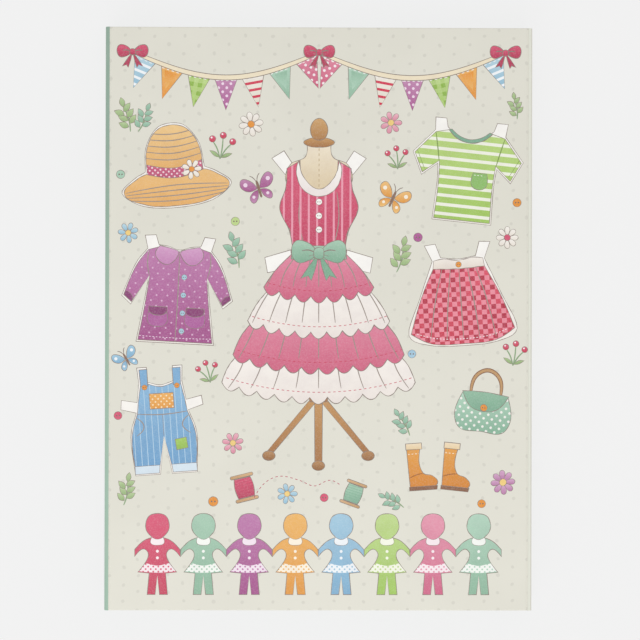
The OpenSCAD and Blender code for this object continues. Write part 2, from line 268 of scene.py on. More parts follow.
# Tray papers and the linings
# Uncoated paper, tinted mint and printed with small white spots, pasted over the tray's walls,
# on its floor and inside the cover and the flap. It is laid flat, with a soft tooth.
def spots(paint, pitch, column, radius, wander=0.0):
    """1 on round spots in staggered columns, 0 between, on a flat face that points any way.

    Spots are a pitch apart in a column, and each strays from its place by up to half of wander.
    """
    along = {axis: paint.where().part(axis) for axis in "XYZ"}
    turned = {axis: paint.math("ABSOLUTE", paint.facing().part(axis)) > 0.5 for axis in "XZ"}
    across = along["X"] + turned["X"] * (along["Y"] - along["X"])
    up = along["Z"] + turned["Z"] * (along["Y"] - along["Z"])
    if wander:
        across = across + (paint.noise(pitch * 1.6, 1.0) - 0.5) * wander
        up = up + (paint.noise(pitch * 1.6, 1.0, seed=(7, 3, 0)) - 0.5) * wander
    reach = []
    for stagger in (0, 0.5):
        aside = paint.math("WRAP", across + stagger * 2 * column, column, -column)
        above = paint.math("WRAP", up + stagger * pitch, pitch / 2, -pitch / 2)
        reach.append(paint.math("SQRT", aside * aside + above * above))
    blur = radius / 4
    return 1 - paint.math("MINIMUM", *reach).between(radius - blur, radius + blur)


def paper_tooth(paint, sockets, depth):
    """The fine grain of a sheet of paper."""
    emboss(paint, sockets, paint.noise(0.0004, 3.0, 0.6), depth)


def spotted_paper(name, ground, spot, layout, tooth, constants):
    """A paper with staggered spots, soft clouds in its ground and a tooth."""
    made, paint, sockets = new_finish(name, **constants)
    cloud = paint.noise(0.03, 3.0).between(0.25, 0.75).blend(ink(ground), ink(ground, 0.955))
    paint.feed(sockets["Base Color"], spots(paint, **layout).blend(cloud, ink(spot)))
    paper_tooth(paint, sockets, tooth)
    return made


spot_white = "#f4f3ec"
mint_spots = {"pitch": 0.0075, "column": 0.00375, "radius": 0.00085}
uncoated = {"Roughness": 0.78, "Specular_IOR_Level": 0.3}
uncoated_tooth = 0.00003
wrap_paper = spotted_paper("tray_wrap_paper", "#a4c8b1", spot_white, mint_spots, uncoated_tooth, uncoated)
dress(wrap_paper, "tray_wrap")
lining_paper = spotted_paper("lining_paper", "#c9dfd0", spot_white, mint_spots, uncoated_tooth, uncoated)
dress(lining_paper, "tray_lining", "cover_lining", "flap_lining")


# Outfit sheets
# Four sheets of white picture card lie in the tray. The top one is die-cut, and its six garments
# press out. The card is coated on the face, with a faint tooth and a warm cast.
def white_card(paint):
    """The bare face of the picture card, with a faint cloud in it."""
    return paint.noise(0.025).between(0.3, 0.7).blend(ink("#f6f3ea"), ink("#f1ede2"))


sheet_finish, paint, sockets = new_finish("sheet_card", Roughness=0.5, Specular_IOR_Level=0.4)
paint.feed(sockets["Base Color"], white_card(paint))
emboss(paint, sockets, paint.noise(0.0005, 3.0, 0.6), depth=0.00002)
dress(sheet_finish, "outfit_sheet_1", "outfit_sheet_2", "outfit_sheet_3", "outfit_sheet_4")


# Garments
# Six garments of the top sheet, die-cut from the same card, with white tabs that fold over a doll's
# shoulders and waist. Each is drawn in pencil and washed with colour, inside a white margin.
def inset(loop, width):
    """A closed outline drawn in by about width, a little more here and less there, as by hand."""
    drawn = []
    count = len(loop)
    sharpest = 0.7
    for i, here in enumerate(loop):
        back = (here - loop[i - 1]).normalized()
        ahead = (loop[(i + 1) % count] - here).normalized()
        inward = Vector((-back.y - ahead.y, back.x + ahead.x))
        sharp = max(inward.length_squared / 2, sharpest)
        wander = 1 + 0.25 * math.sin(here.x * 0.9 + here.y * 1.3)
        drawn.append(here + inward * (width / sharp) * wander)
    return drawn


def smooth(points, closed=True):
    """A fair curve through the points, in short steps. A third entry of 1 keeps a corner."""
    step = 0.9
    fewest, most = 3, 18
    count = len(points)
    places = [Vector(p[:2]) for p in points]

    def heading(i):
        if len(points[i]) > 2 and points[i][2] == 1 or not closed and i in (0, count - 1):
            return None
        back = places[i] - places[i - 1]
        ahead = places[(i + 1) % count] - places[i]
        return (back.normalized() + ahead.normalized()).normalized()

    curve = []
    for i in range(count if closed else count - 1):
        after = (i + 1) % count
        start, end = places[i], places[after]
        span = end - start
        leave, arrive = heading(i), heading(after)
        if leave is None and arrive is None:
            curve.append(start)
            continue
        out = leave * span.length if leave else span * 1.5 - arrive * span.length * 0.5
        into = arrive * span.length if arrive else span * 1.5 - leave * span.length * 0.5
        steps = max(fewest, min(most, round(span.length / step)))
        curve += interpolate_bezier(start, start + out / 3, end - into / 3, end, steps + 1)[:-1]
    if not closed:
        curve.append(places[-1])
    return [Vector(p[:2]) for p in curve]


def both(half):
    """A whole outline from its right half, given from the foot to the head."""
    return list(half) + [(-p[0],) + tuple(p[1:]) for p in reversed(half) if abs(p[0]) > 1e-6]


def disc(x, y, across, up=None):
    """The points of a round or oval mark, from its half width and half height."""
    up = up or across
    return [(x + across * math.cos(a * math.pi / 4), y + up * math.sin(a * math.pi / 4)) for a in range(8)]


def anticlockwise(loop):
    """The same closed outline, run so that its inside lies on the left."""
    area = sum(a.x * b.y - a.y * b.x for a, b in zip(loop, loop[1:] + loop[:1]))
    return loop if area > 0 else loop[::-1]


def inside(loop, places):
    """Which of the places lie inside a closed outline that runs anticlockwise."""
    corners = np.array(loop)
    within = ((places > corners.min(axis=0)) & (places < corners.max(axis=0))).all(axis=1)
    x, y = places[within].T
    turns = np.zeros(len(x), int)
    for a, b in zip(corners, np.roll(corners, -1, axis=0)):
        left = (b[0] - a[0]) * (y - a[1]) - (x - a[0]) * (b[1] - a[1])
        turns += (a[1] <= y) & (b[1] > y) & (left > 0)
        turns -= (a[1] > y) & (b[1] <= y) & (left < 0)
    within[within] = turns > 0
    return within


class Artwork:
    """Flat shapes printed one over the other on a sheet, in millimetres of the sheet."""

    pencil = ink("#8b7d74")
    bare = (1, 1, 1, 0)
    first_dot = 0.4
    first_stripe = 0.35

    def __init__(self, edge):
        self.layers = [(edge, None, None, None)]
        self.place = Matrix.Identity(4)
        self.creases = []

    @contextmanager
    def moved(self, x=0, y=0, size=1, turn=0, flip=1):
        """What is drawn inside lies at x, y, larger by size and turned by an angle in degrees."""
        kept = self.place
        turned = Matrix.Rotation(math.radians(turn), 4, "Z")
        grown = Matrix.Diagonal((size * flip, size, 1, 1))
        self.place = kept @ Matrix.Translation((x, y, 0)) @ turned @ grown
        yield
        self.place = kept

    def sides(self):
        """Draw what is in the loop twice, as given and mirrored: gives 1, then -1."""
        for side in (1, -1):
            with self.moved(flip=side):
                yield side

    def lie(self, points):
        """Points of a motif at their place on the sheet, corner marks kept."""
        return [tuple((self.place @ Vector((p[0], p[1], 0)))[:2]) + tuple(p[2:]) for p in points]

    def add(self, loop, top, foot, clip):
        """Lay a closed outline over what is there, and give its number."""
        self.layers.append((loop, top, foot, clip))
        return len(self.layers) - 1

    def shape(self, points, top, foot=None, line=0.32, clip=None):
        """A wash of colour, from top to foot, inside a pencil line. Gives a number to clip others to."""
        loop = anticlockwise(smooth(self.lie(points)))
        if line:
            self.add(loop, self.pencil, None, clip)
            loop = inset(loop, line)
        return self.add(loop, ink(top), ink(foot or top), clip)

    def stroke(self, points, width, colour=None, clip=None):
        """A line with drawn-out ends along the points."""
        path = smooth(self.lie(points), closed=False)
        left, right = [], []
        tip, belly = 0.22, 0.28
        for i, here in enumerate(path):
            along = (path[min(i + 1, len(path) - 1)] - path[max(i - 1, 0)]).normalized()
            share = i / (len(path) - 1)
            half = width * (tip + belly * math.sqrt(math.sin(math.pi * share) + 1e-9))
            left.append(here + Vector((-along.y, along.x)) * half)
            right.append(here - Vector((-along.y, along.x)) * half)
        return self.add(right + left[::-1], ink(colour) if colour else self.pencil, None, clip)

    def span(self, clip):
        """The lowest and highest corner of a shape that was laid before, in the motif being drawn."""
        back = self.place.inverted()
        loop = [back @ Vector((p.x, p.y, 0)) for p in self.layers[clip][0]]
        return [[pick(p[axis] for p in loop) for axis in (0, 1)] for pick in (min, max)]

    def patch(self, points, colour, clip):
        """A straight-sided mark of one colour inside a shape."""
        loop = anticlockwise([Vector(p) for p in self.lie(points)])
        self.add(loop, ink(colour), None, clip)

    def block(self, x, y, width, height, colour, clip):
        """A rectangle of one colour inside a shape, from its lowest corner."""
        self.patch([(x, y), (x + width, y), (x + width, y + height), (x, y + height)], colour, clip)

    def dots(self, clip, pitch, radius, colour):
        """Staggered dots inside a shape."""
        (low_x, low_y), (high_x, high_y) = self.span(clip)
        for row in range(int((high_y - low_y) / pitch * 2) + 1):
            y = low_y + (row + self.first_dot) * pitch / 2
            for column in range(int((high_x - low_x) / pitch) + 2):
                x = low_x + (column + (row % 2) / 2) * pitch
                self.patch(disc(x, y, radius), colour, clip)

    def stripes(self, clip, pitch, width, colour, upright=False):
        """Straight stripes inside a shape, level or upright."""
        low, high = self.span(clip)
        axis = 0 if upright else 1
        for k in range(int((high[axis] - low[axis]) / pitch) + 1):
            start = low[axis] + (k + self.first_stripe) * pitch
            if upright:
                self.block(start, low[1], width, high[1] - low[1], colour, clip)
            else:
                self.block(low[0], start, high[0] - low[0], width, colour, clip)

    def gingham(self, clip, pitch, half_tone, full_tone):
        """Crossed stripes inside a shape, darker where they cross."""
        self.stripes(clip, pitch, pitch / 2, half_tone)
        self.stripes(clip, pitch, pitch / 2, half_tone, upright=True)
        low, high = self.span(clip)
        for row in range(int((high[1] - low[1]) / pitch) + 1):
            for column in range(int((high[0] - low[0]) / pitch) + 1):
                x = low[0] + (column + self.first_stripe) * pitch
                y = low[1] + (row + self.first_stripe) * pitch
                self.block(x, y, pitch / 2, pitch / 2, full_tone, clip)

    def lay(self, name, height):
        """The printed face as one flat mesh at a height in metres, each patch in its own colour."""
        points, lines = [], []
        for loop, *_ in self.layers:
            start, count = len(points), len(loop)
            lines += [(start + k, start + (k + 1) % count) for k in range(count)]
            points += loop
        for crease in self.creases:
            lines.append((len(points), len(points) + 1))
            points += [Vector(end) for end in crease]
        # Cut the sheet along every line, and find the topmost shape over the middle of each patch.
        same_place = 1e-5
        places, _, patches, *_ = delaunay_2d_cdt(points, lines, [], 0, same_place, False)
        places = np.array(places)
        patches = np.array(patches)
        middles = places[patches].mean(axis=1)
        shown = np.full(len(patches), -1)
        covered = []
        for number, (loop, _, _, clip) in enumerate(self.layers):
            within = inside(loop, middles)
            covered.append(within if clip is None else within & covered[clip])
            shown[covered[number]] = number
        shown[~covered[0]] = -1
        patches = patches[shown >= 0]
        shown = shown[shown >= 0]
        # Shade each corner of a patch by its height between the foot and the top of its shape.
        tops = np.array([top or self.bare for _, top, _, _ in self.layers])
        feet = np.array([foot or top or self.bare for _, top, foot, _ in self.layers])
        spans = np.array([self.span(number) for number in range(len(self.layers))])[:, :, 1]
        low, high = spans[shown, 0], spans[shown, 1]
        rise = (places[patches][:, :, 1] - low[:, None]) / (high - low)[:, None]
        shades = feet[shown][:, None] + (tops - feet)[shown][:, None] * rise.clip(0, 1)[:, :, None]
        mesh = bpy.data.meshes.new(name)
        mesh.from_pydata([(x / 1000, y / 1000, height) for x, y in places], [], patches.tolist())
        mesh.color_attributes.new("ink", "FLOAT_COLOR", "CORNER").data.foreach_set("color", shades.ravel())
        printed = bpy.data.objects.new(name, mesh)
        bpy.context.collection.objects.link(printed)
        bpy.ops.object.select_all(action="DESELECT")
        bpy.context.view_layer.objects.active = printed
        printed.select_set(True)
        weld = 0.000002
        bpy.ops.object.mode_set(mode="EDIT")
        bpy.ops.mesh.select_all(action="SELECT")
        bpy.ops.mesh.remove_doubles(threshold=weld)
        bpy.ops.mesh.delete_loose()
        bpy.ops.object.mode_set(mode="OBJECT")
        return printed


def card_outline(node):
    """The cut edge of a flat CAD node, seen from above, in millimetres."""
    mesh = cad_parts[node].data
    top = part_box(node)[1].z
    edges = {}
    for face in mesh.polygons:
        ends = [tuple(round(c * 1000, 3) for c in mesh.vertices[v].co) for v in face.vertices]
        if face.normal.z > 0.9 and all(abs(p[2] - top * 1000) < 0.01 for p in ends):
            for a, b in zip(ends, ends[1:] + ends[:1]):
                edges[(a[:2], b[:2])] = True
    chain = {a: b for a, b in edges if (b, a) not in edges}
    loop = [next(iter(chain))]
    while chain[loop[-1]] != loop[0]:
        loop.append(chain[loop[-1]])
    return [Vector(p) for p in loop]


def turn_faces_out():
    """Make the faces of the piece in edit mode point outwards, and leave edit mode."""
    bpy.ops.mesh.select_all(action="SELECT")
    bpy.ops.mesh.normals_make_consistent(inside=False)
    bpy.ops.object.mode_set(mode="OBJECT")


def leave_bare(sheet, test):
    """Take the print off the faces of a sheet that pass a test."""
    shades = sheet.data.color_attributes["ink"].data
    for face in sheet.data.polygons:
        if test(face):
            for corner in face.loop_indices:
                shades[corner].color = Artwork.bare


def cut_card(art, name, node, paper):
    """Lay a printed face on a card, give it the card's thickness and let it stand for the node."""
    low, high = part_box(node)
    card = art.lay(name, high.z)
    bpy.ops.object.mode_set(mode="EDIT")
    bpy.ops.mesh.select_mode(type="EDGE")
    bpy.ops.mesh.select_all(action="DESELECT")
    bpy.ops.mesh.select_non_manifold()
    bpy.ops.mesh.extrude_region_move(TRANSFORM_OT_translate={"value": (0, 0, low.z - high.z)})
    bpy.ops.mesh.fill()
    turn_faces_out()
    leave_bare(card, lambda face: face.normal.z < 0.5)
    card.data.materials.append(paper)
    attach(card, "base")
    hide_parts(node)
    return card


def printed_finish(name, ground, roughness, tooth):
    """Paper printed in washes: uneven pigment over a ground that shows where nothing is printed."""
    made, paint, sockets = new_finish(name, Roughness=roughness, Specular_IOR_Level=0.4)
    printed = paint.node("Attribute", {"attribute_name": "ink"}, None, "Color")
    covered = paint.node("Attribute", {"attribute_name": "ink"}, None, "Alpha")
    pooled = paint.noise(0.007, 4.0, 0.6).between(0.35, 0.68)
    speckle = paint.noise(0.0006, 2.0, 0.6).between(0.4, 0.75)
    pool_tint = (0.90, 0.88, 0.90, 1)
    wet = (pooled * 0.5).blend(printed, pool_tint, "MULTIPLY")
    wash = (speckle * 0.10).blend(wet, (1, 1, 1, 1), "SCREEN")
    paint.feed(sockets["Base Color"], covered.blend(ground(paint), wash))
    paper_tooth(paint, sockets, tooth)
    return made


def tuck_lines(art, clip, *lines):
    """Thin pencil lines for folds, inside a shape."""
    for line in lines:
        art.stroke(line, 0.55, "#9c8f86", clip)


def stitches(art, points, colour, clip=None):
    """A row of running stitches along the points, each half a pitch long."""
    pitch = 2.6
    path = np.array(smooth(points, closed=False))
    along = np.insert(np.hypot(*np.diff(path, axis=0).T).cumsum(), 0, 0)
    for start in np.arange(0, along[-1] - pitch / 2, pitch):
        ends = [[np.interp(run, along, axis) for axis in path.T] for run in (start, start + pitch / 2)]
        art.stroke(ends, 0.8, colour, clip)


def buttons(art, places, radius, colour):
    """Round buttons with two sewing holes each."""
    for x, y in places:
        art.shape(disc(x, y, radius), colour, line=0.22)
        for side in (-1, 1):
            art.shape(disc(x + side * radius * 0.32, y, radius * 0.17), "#7d6a62", line=0)


def draw_sun_hat(art):
    crown = art.shape(both([(21.4, 40, 1), (20.4, 63), (11.4, 77), (0, 80.2)]), "#f3cd8e", "#e3a95e")
    tuck_lines(art, crown, *[[(-22, y), (0, y - 3.2), (22, y)] for y in (56, 61, 66, 71, 76)])
    half = [(0, 16.6), (26.2, 19.8), (41.4, 30.4), (32.4, 39.2), (22, 43.6), (0, 39.4)]
    brim = art.shape(both(half), "#f0c380", "#e9b066")
    tuck_lines(art, brim, *[[(-40, 30.4 - d / 2), (0, 33 - d), (40, 30.4 - d / 2)] for d in (0, 4, 8, 12)])
    band = art.shape(both([(0, 38.4), (22.2, 43, 1), (21.6, 51, 1), (0, 46.6)]), "#d26688", "#bf4f74")
    art.dots(band, 4.2, 0.8, "#f6dbe2")
    with art.moved(13, 44, 8.05):
        draw_daisy(art, 7, "#faf6ee", "#efe4d4", "#e9952f")


def draw_t_shirt(art):
    half = [(22.2, 5.4, 1), (21.4, 33.5), (22.3, 50.2, 1), (34.6, 39.8, 1), (42, 55.2, 1), (27.2, 72.8, 1)]
    half += [(17.2, 75.4, 1), (9.6, 69), (0, 66.6)]
    shirt = art.shape(both(half), "#bcd97f", "#a2c95c")
    art.stripes(shirt, 7.2, 2.5, "#f4f5e6")
    for _ in art.sides():
        art.stroke([(33, 43), (40.3, 57.5)], 0.6, "#7f9a4c", shirt)
        art.stroke([(22.3, 50.2), (24.5, 61), (27.2, 72.8)], 0.6, "#7f9a4c", shirt)
    neck = [(0, 66.4), (9.8, 68.8), (17.4, 75.4, 1), (14.8, 76.2, 1), (8.6, 71.6), (0, 69.4)]
    art.shape(both(neck), "#7fae92", line=0.25)
    pocket = art.shape([(5, 44, 1), (16, 44, 1), (16, 33), (10.5, 30.6), (5, 33)], "#8fbf6a", line=0.28)
    stitches(art, [(6, 42), (15, 42)], "#f4f5e6", pocket)


def draw_raincoat(art):
    half = [(29.2, 1.3, 1), (25, 30.2), (22.5, 52.2, 1), (35.4, 30.6, 1), (42, 36, 1), (33, 60)]
    half += [(24.4, 72.4, 1), (15.4, 75.2, 1), (8.8, 74.4), (0, 72)]
    coat = art.shape(both(half), "#c07cae", "#a5508b")
    art.dots(coat, 8.4, 0.75, "#ddb0d0")
    tuck_lines(art, coat, [(0, 1), (0.4, 36), (0, 72)])
    for _ in art.sides():
        tuck_lines(art, coat, [(22.6, 52), (24.6, 63), (23.6, 72)])
        cuff = [(34.2, 33), (36.2, 30, 1), (42.4, 35.6, 1), (40.6, 39.2)]
        art.shape(cuff, "#8a3c73", line=0.28, clip=coat)
        art.shape([(8, 27, 1), (21, 27, 1), (21.5, 15), (14.5, 12.4), (7.5, 15)], "#b262a0", line=0.28)
        art.shape([(7.4, 28.4, 1), (21.6, 28.4, 1), (21, 23.4), (8, 23.4)], "#8a3c73")
        collar = [(0.8, 69), (10, 61), (19, 69), (15.6, 76, 1), (8.8, 74.8), (1.2, 72.6, 1)]
        art.shape(collar, "#d9a3cc", "#c583b6")
    buttons(art, [(4.6, y) for y in (10, 24, 38, 52)], 2.3, "#a9cddd")
    stitches(art, [(-28, 5), (0, 4.4), (28, 5)], "#f0d9ea", coat)


def scalloped(half_top, top, half_hem, hem, lift, count, drop):
    """A flared panel whose hem hangs in scallops: its outline, from widths, heights and counts."""
    edge = []
    for k in range(count + 1):
        x = half_hem * (2 * k / count - 1)
        y = hem + lift * (x / half_hem) ** 2
        edge.append((x, y, 1))
        if k < count:
            middle = x + half_hem / count
            edge.append((middle, hem + lift * (middle / half_hem) ** 2 - drop))
    bulge = (half_top + half_hem) / 2 * 1.06
    middle = (top + hem + lift) / 2
    return edge + [(bulge, middle), (half_top, top, 1), (-half_top, top, 1), (-bulge, middle)]


def draw_party_dress(art):
    for half_top, top, half_hem, hem, lift, scallops, colour, shade in (
        (24, 30, 40.6, 5.6, 5.4, 9, "#f7f0ea", "#eadfd9"),
        (18, 40, 35.2, 16.4, 5.2, 8, "#e79ab0", "#d8758f"),
        (14, 48.6, 28, 28.6, 4.4, 7, "#f7f0ea", "#eadfd9"),
    ):
        panel = scalloped(half_top, top, half_hem, hem, lift, scallops, 2.6)
        tier = art.shape(panel, colour, shade)
        fan = [-0.8, -0.4, 0, 0.4, 0.8]
        tuck_lines(art, tier, *[[(f * half_top, top - 1), (f * half_hem * 0.96, hem + 4)] for f in fan])
    half = [(14.4, 47, 1), (14.4, 55.4), (16.6, 67), (19.2, 76, 1), (13.2, 76.2, 1), (7.6, 67.8), (0, 64.6)]
    bodice = art.shape(both(half), "#d95474", "#c33f61")
    art.stripes(bodice, 4.6, 1.1, "#ee9fb2", upright=True)
    art.shape(both([(0, 45.2), (14.8, 46, 1), (14.4, 52, 1), (0, 51)]), "#a4c8b1", "#8db79c")
    with art.moved(0, 48.4, 0.62):
        draw_bow(art, "#a4c8b1", "#7fae92")


def draw_skirt(art):
    half = [(0, 4.8), (25.4, 6.4), (40.8, 14.8, 1), (31.2, 42), (19.6, 66, 1), (0, 65)]
    skirt = art.shape(both(half), "#e2556c", "#c9384f")
    art.gingham(skirt, 7.6, "#ee8f9f", "#b82f48")
    for f in (-0.66, -0.33, 0, 0.33, 0.66):
        tuck_lines(art, skirt, [(f * 20, 64), (f * 30, 40), (f * 39, 9)])
    waistband = [(0, 63.4), (20.4, 64.4, 1), (19.4, 71, 1), (13, 72.2), (0, 70.6)]
    art.shape(both(waistband), "#f6efe6", "#e9ded2")
    buttons(art, [(0, 67)], 2.4, "#e9952f")
    stitches(art, [(-36, 15), (-22, 10.6), (0, 9), (22, 10.6), (36, 15)], "#fbeef0", skirt)


def draw_dungarees(art):
    half = [(0, 30, 1), (5.4, 1.3, 1), (23.2, 1.3, 1), (25, 30.3), (19.6, 48.4, 1), (18.4, 57)]
    half += [(15.8, 70.4, 1), (9.4, 71, 1), (0, 68.6)]
    legs = art.shape(both(half), "#8dbbdd", "#6b9fca")
    art.stripes(legs, 4.8, 0.55, "#b7d5ea", upright=True)
    tuck_lines(art, legs, [(0, 30), (0, 47)], [(-19.6, 48), (0, 46.6), (19.6, 48)])
    for _ in art.sides():
        art.shape([(4.4, 7.6, 1), (24.2, 7.6, 1), (24.4, 1, 1), (5.2, 1, 1)], "#d8e7f1")
        art.shape([(9.6, 69, 1), (9.6, 82.6, 1), (16.4, 82.6, 1), (15.8, 69, 1)], "#7fb0d6")
        tuck_lines(art, legs, [(22, 46), (15, 38), (21, 31)])
    bib = art.shape(both([(0, 51), (9.6, 51, 1), (9.6, 63.4, 1), (0, 63.4)]), "#f0b35f", "#e39a3c")
    art.dots(bib, 4.4, 0.7, "#fbe3bd")
    art.shape([(9, 18, 1), (18.4, 19.4, 1), (17.4, 28, 1), (8.2, 26.8, 1)], "#a9cf63", "#93bb4d")
    buttons(art, [(-12.6, 68.4), (12.6, 68.4)], 2.2, "#e9952f")


def draw_daisy(art, petals, colour, shade, heart):
    """A flower whose petals reach out by one unit."""
    petal = [(0.2, 0), (0.55, 0.23), (0.88, 0.2), (1, 0), (0.88, -0.2), (0.55, -0.23)]
    for k in range(petals):
        with art.moved(turn=360 * k / petals):
            art.shape(petal, colour, shade, line=0.24)
    art.shape(disc(0, 0, 0.3), heart, line=0.24)


def draw_bow(art, colour, shade):
    for _ in art.sides():
        tail = [(0, 0, 1), (5, -6), (11, -15, 1), (6.4, -13.4, 1), (4.4, -16.4, 1), (1.6, -8)]
        art.shape(tail, shade)
        loop = [(0, 0, 1), (6, 6.4), (14, 7.4), (16.4, 0.6), (13, -5.4), (6, -4.4)]
        wing = art.shape(loop, colour, shade)
        art.stroke([(2, 0.4), (6, 2), (10, 1.6)], 0.6, None, wing)
        art.stroke([(2, -0.6), (6, -1.6)], 0.5, None, wing)
    art.shape(both([(2.6, -2.8), (3.2, 0), (2.4, 3)]), colour, shade)


garments = {
    "sun_hat": draw_sun_hat,
    "t_shirt": draw_t_shirt,
    "raincoat": draw_raincoat,
    "party_dress": draw_party_dress,
    "skirt": draw_skirt,
    "dungarees": draw_dungarees,
}
sheet_margin = 8.5
columns, rows = 2, 3
sheet_low, sheet_high = (corner * 1000 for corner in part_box("outfit_sheet_4"))
cell_w = (sheet_high.x - sheet_low.x - (columns + 1) * sheet_margin) / columns
cell_h = (sheet_high.y - sheet_low.y - (rows + 1) * sheet_margin) / rows
outfit_card = printed_finish("outfit_card", white_card, roughness=0.5, tooth=0.00002)
cells = {}
for number, (garment, draw) in enumerate(garments.items()):
    row, column = divmod(number, columns)
    cells[garment] = (
        sheet_low.x + sheet_margin + cell_w / 2 + column * (cell_w + sheet_margin),
        sheet_high.y - sheet_margin - cell_h - row * (cell_h + sheet_margin),
    )
    art = Artwork(card_outline(garment))
    with art.moved(*cells[garment]):
        draw(art)
    piece = cut_card(art, garment + "_card", garment, outfit_card)


# Dolls
# Two dolls of thick white card, die-cut round a pencil-and-wash figure with a slotted base.
# Each wears a slip, socks and shoes, so that the garments can be hung on it by their tabs.
def draw_leg(art, sock, shoe):
    calf = [(0.7, 17, 1), (13.8, 17.4, 1), (13.9, 30), (13.4, 42), (15, 56), (17, 66, 1), (0.7, 66, 1)]
    leg = art.shape(calf, "#f6d2b8", "#edbd9e")
    art.stroke([(5, 50.6), (8, 49.2), (11, 50.4)], 0.6, "#d9a184", leg)
    cuff = [(0.5, 17, 1), (14.6, 17, 1), (14.2, 36.4, 1), (7.4, 37.6), (0.5, 36.4, 1)]
    knitted = art.shape(cuff, "#faf6ee", line=0.25, clip=leg)
    art.stripes(knitted, 4.4, 2.0, sock)
    upper = [(0.7, 16.6, 1), (14.8, 16.6, 1), (15.8, 19.6), (14.4, 26, 1), (11.8, 26, 1), (10.6, 22)]
    upper += [(7.4, 20.8), (4.2, 22), (3.2, 26, 1), (0.7, 26, 1)]
    art.shape(upper, shoe)
    art.shape([(0.9, 25.6, 1), (14.4, 25.6, 1), (14.2, 28.6, 1), (0.9, 28.6, 1)], shoe, line=0.28)
    art.shape([(0.6, 15.4, 1), (15.2, 15.4, 1), (15.8, 17.2, 1), (0.6, 17.2, 1)], "#8a6a58", line=0.2)
    buttons(art, [(11.4, 27.1)], 1.2, "#faf6ee")


def draw_figure(art, slip_trim, sock, shoe, base_ink):
    half = [(29, 1.2, 1), (29, 9, 1), (24, 14), (14.5, 12.6), (5, 14.4), (0, 13)]
    base = art.shape(both(half), base_ink, "#8fb79d")
    art.dots(base, 5.4, 0.8, "#f4f3ec")
    for _ in art.sides():
        draw_leg(art, sock, shoe)
        arm = [(19, 106.4), (22.8, 107.4), (30, 95.4), (36.6, 81), (40.2, 72.4), (39.4, 66.6), (35.6, 66.6)]
        arm += [(33.2, 69.4), (27.8, 80.8), (20.2, 93, 1)]
        limb = art.shape(arm, "#f6d2b8", "#efc0a2")
        thumb = [(34.2, 73), (31.8, 70.4), (32, 67.8), (33.6, 68), (35.4, 70.6)]
        art.shape(thumb, "#f3c9ad", line=0.25)
        for finger in (36.6, 37.8, 39):
            art.stroke([(finger - 0.5, 70.6), (finger, 67)], 0.4, None, limb)
    shoulders = [(0, 88), (16.6, 90), (20, 99), (22.2, 106.6), (14.6, 110.4), (6.6, 112.4), (5.4, 118, 1)]
    art.shape(both(shoulders), "#f4cbb0", "#f0c1a4")
    for _ in art.sides():
        art.stroke([(9, 106.6), (4.6, 105.4), (1.4, 104)], 0.5, "#dba588")
    scallops = 9
    hem = scalloped(13.6, 84, 19, 60, 1.2, scallops, 2.4)[:2 * scallops + 1]
    upper = [(17.6, 76), (17.4, 90), (18.4, 98), (17.6, 107, 1), (12.6, 108, 1), (8.4, 99.4), (0, 97.4)]
    slip = art.shape(hem + both(upper), "#fdfbf6", "#f1e7e2")
    for rise in (64, 67):
        stitches(art, [(-18, rise), (0, rise - 1), (18, rise)], slip_trim, slip)
    tuck_lines(art, slip, [(-9, 84), (-12, 66)], [(0, 84), (0, 65)], [(9, 84), (12, 66)])
    art.shape(both([(0, 83.6), (17.8, 84.4, 1), (17.6, 88, 1), (0, 87.2)]), slip_trim)
    with art.moved(0, 98.4, 0.3):
        draw_bow(art, slip_trim, slip_trim)


def draw_face(art, iris):
    half = [(0, 113.4), (10, 116.4), (18.4, 125), (20.6, 136), (18, 150), (0, 158)]
    art.shape(both(half), "#f8d8c0", "#f3c9ad")
    for side in art.sides():
        for spread, blush in ((4.6, "#f5c3b0"), (3.2, "#f2b3a4"), (1.8, "#efa498")):
            art.shape(disc(12, 125.6, spread, spread * 0.82), blush, line=0)
        art.shape(disc(8, 133, 2.7, 2.9), "#fdfbf6", line=0.2)
        art.shape(disc(8, 132.8, 1.75, 2.3), iris, line=0.2)
        art.shape(disc(8, 132.8, 0.9, 1.3), "#3d2c26", line=0)
        art.shape(disc(8 + side * 0.7, 133.9, 0.5), "#ffffff", line=0)
        art.stroke([(5, 134), (7.8, 136.3), (11.4, 134.4)], 0.9, "#5d4338")
        art.stroke([(4.6, 140.2), (8, 141.6), (11.8, 140)], 0.8, "#8a5f44")
    art.stroke([(-1.4, 127.4), (0, 126.6), (1.4, 127.4)], 0.6, "#d79a80")
    art.stroke([(-4.2, 121.6), (0, 120), (4.2, 121.6)], 0.9, "#c75868")
    art.stroke([(-1.4, 118.4), (0, 118), (1.4, 118.4)], 0.5, "#e3a58e")


def draw_bob(art):
    nape = [(0, 114.4), (12, 116), (17.4, 115), (25, 118.6), (28.8, 129.4), (28, 146), (21.8, 160.2)]
    back = art.shape(both(nape + [(11.4, 167), (0, 168.6)]), "#4d4644", "#332d2d")
    for _ in art.sides():
        for x in (20, 23, 26):
            art.stroke([(x - 3, 150), (x, 134), (x - 2, 119)], 0.6, "#6d6462", back)
    draw_face(art, "#7a5a44")
    crown = [(0, 148.4), (4, 147.6), (12, 147.2), (18.6, 145), (20.4, 133, 1), (22.4, 133, 1), (24.2, 146)]
    front = art.shape(both(crown + [(19.6, 159.4), (10.8, 165.8), (0, 167.4)]), "#544c4a", "#3d3635")
    for x in (-15, -9, -3, 3, 9, 15):
        art.stroke([(x * 0.55, 158), (x * 0.9, 153), (x * 1.1, 147.4)], 0.55, "#756b68", front)
    band = [(0, 157.6), (12, 156.4), (22.6, 149.6, 1), (21.6, 154.4, 1), (11.4, 160.8), (0, 162)]
    ribbon = art.shape(both(band), "#8cc7b4", "#6fb09b")
    art.dots(ribbon, 3.6, 0.6, "#f4f3ec")


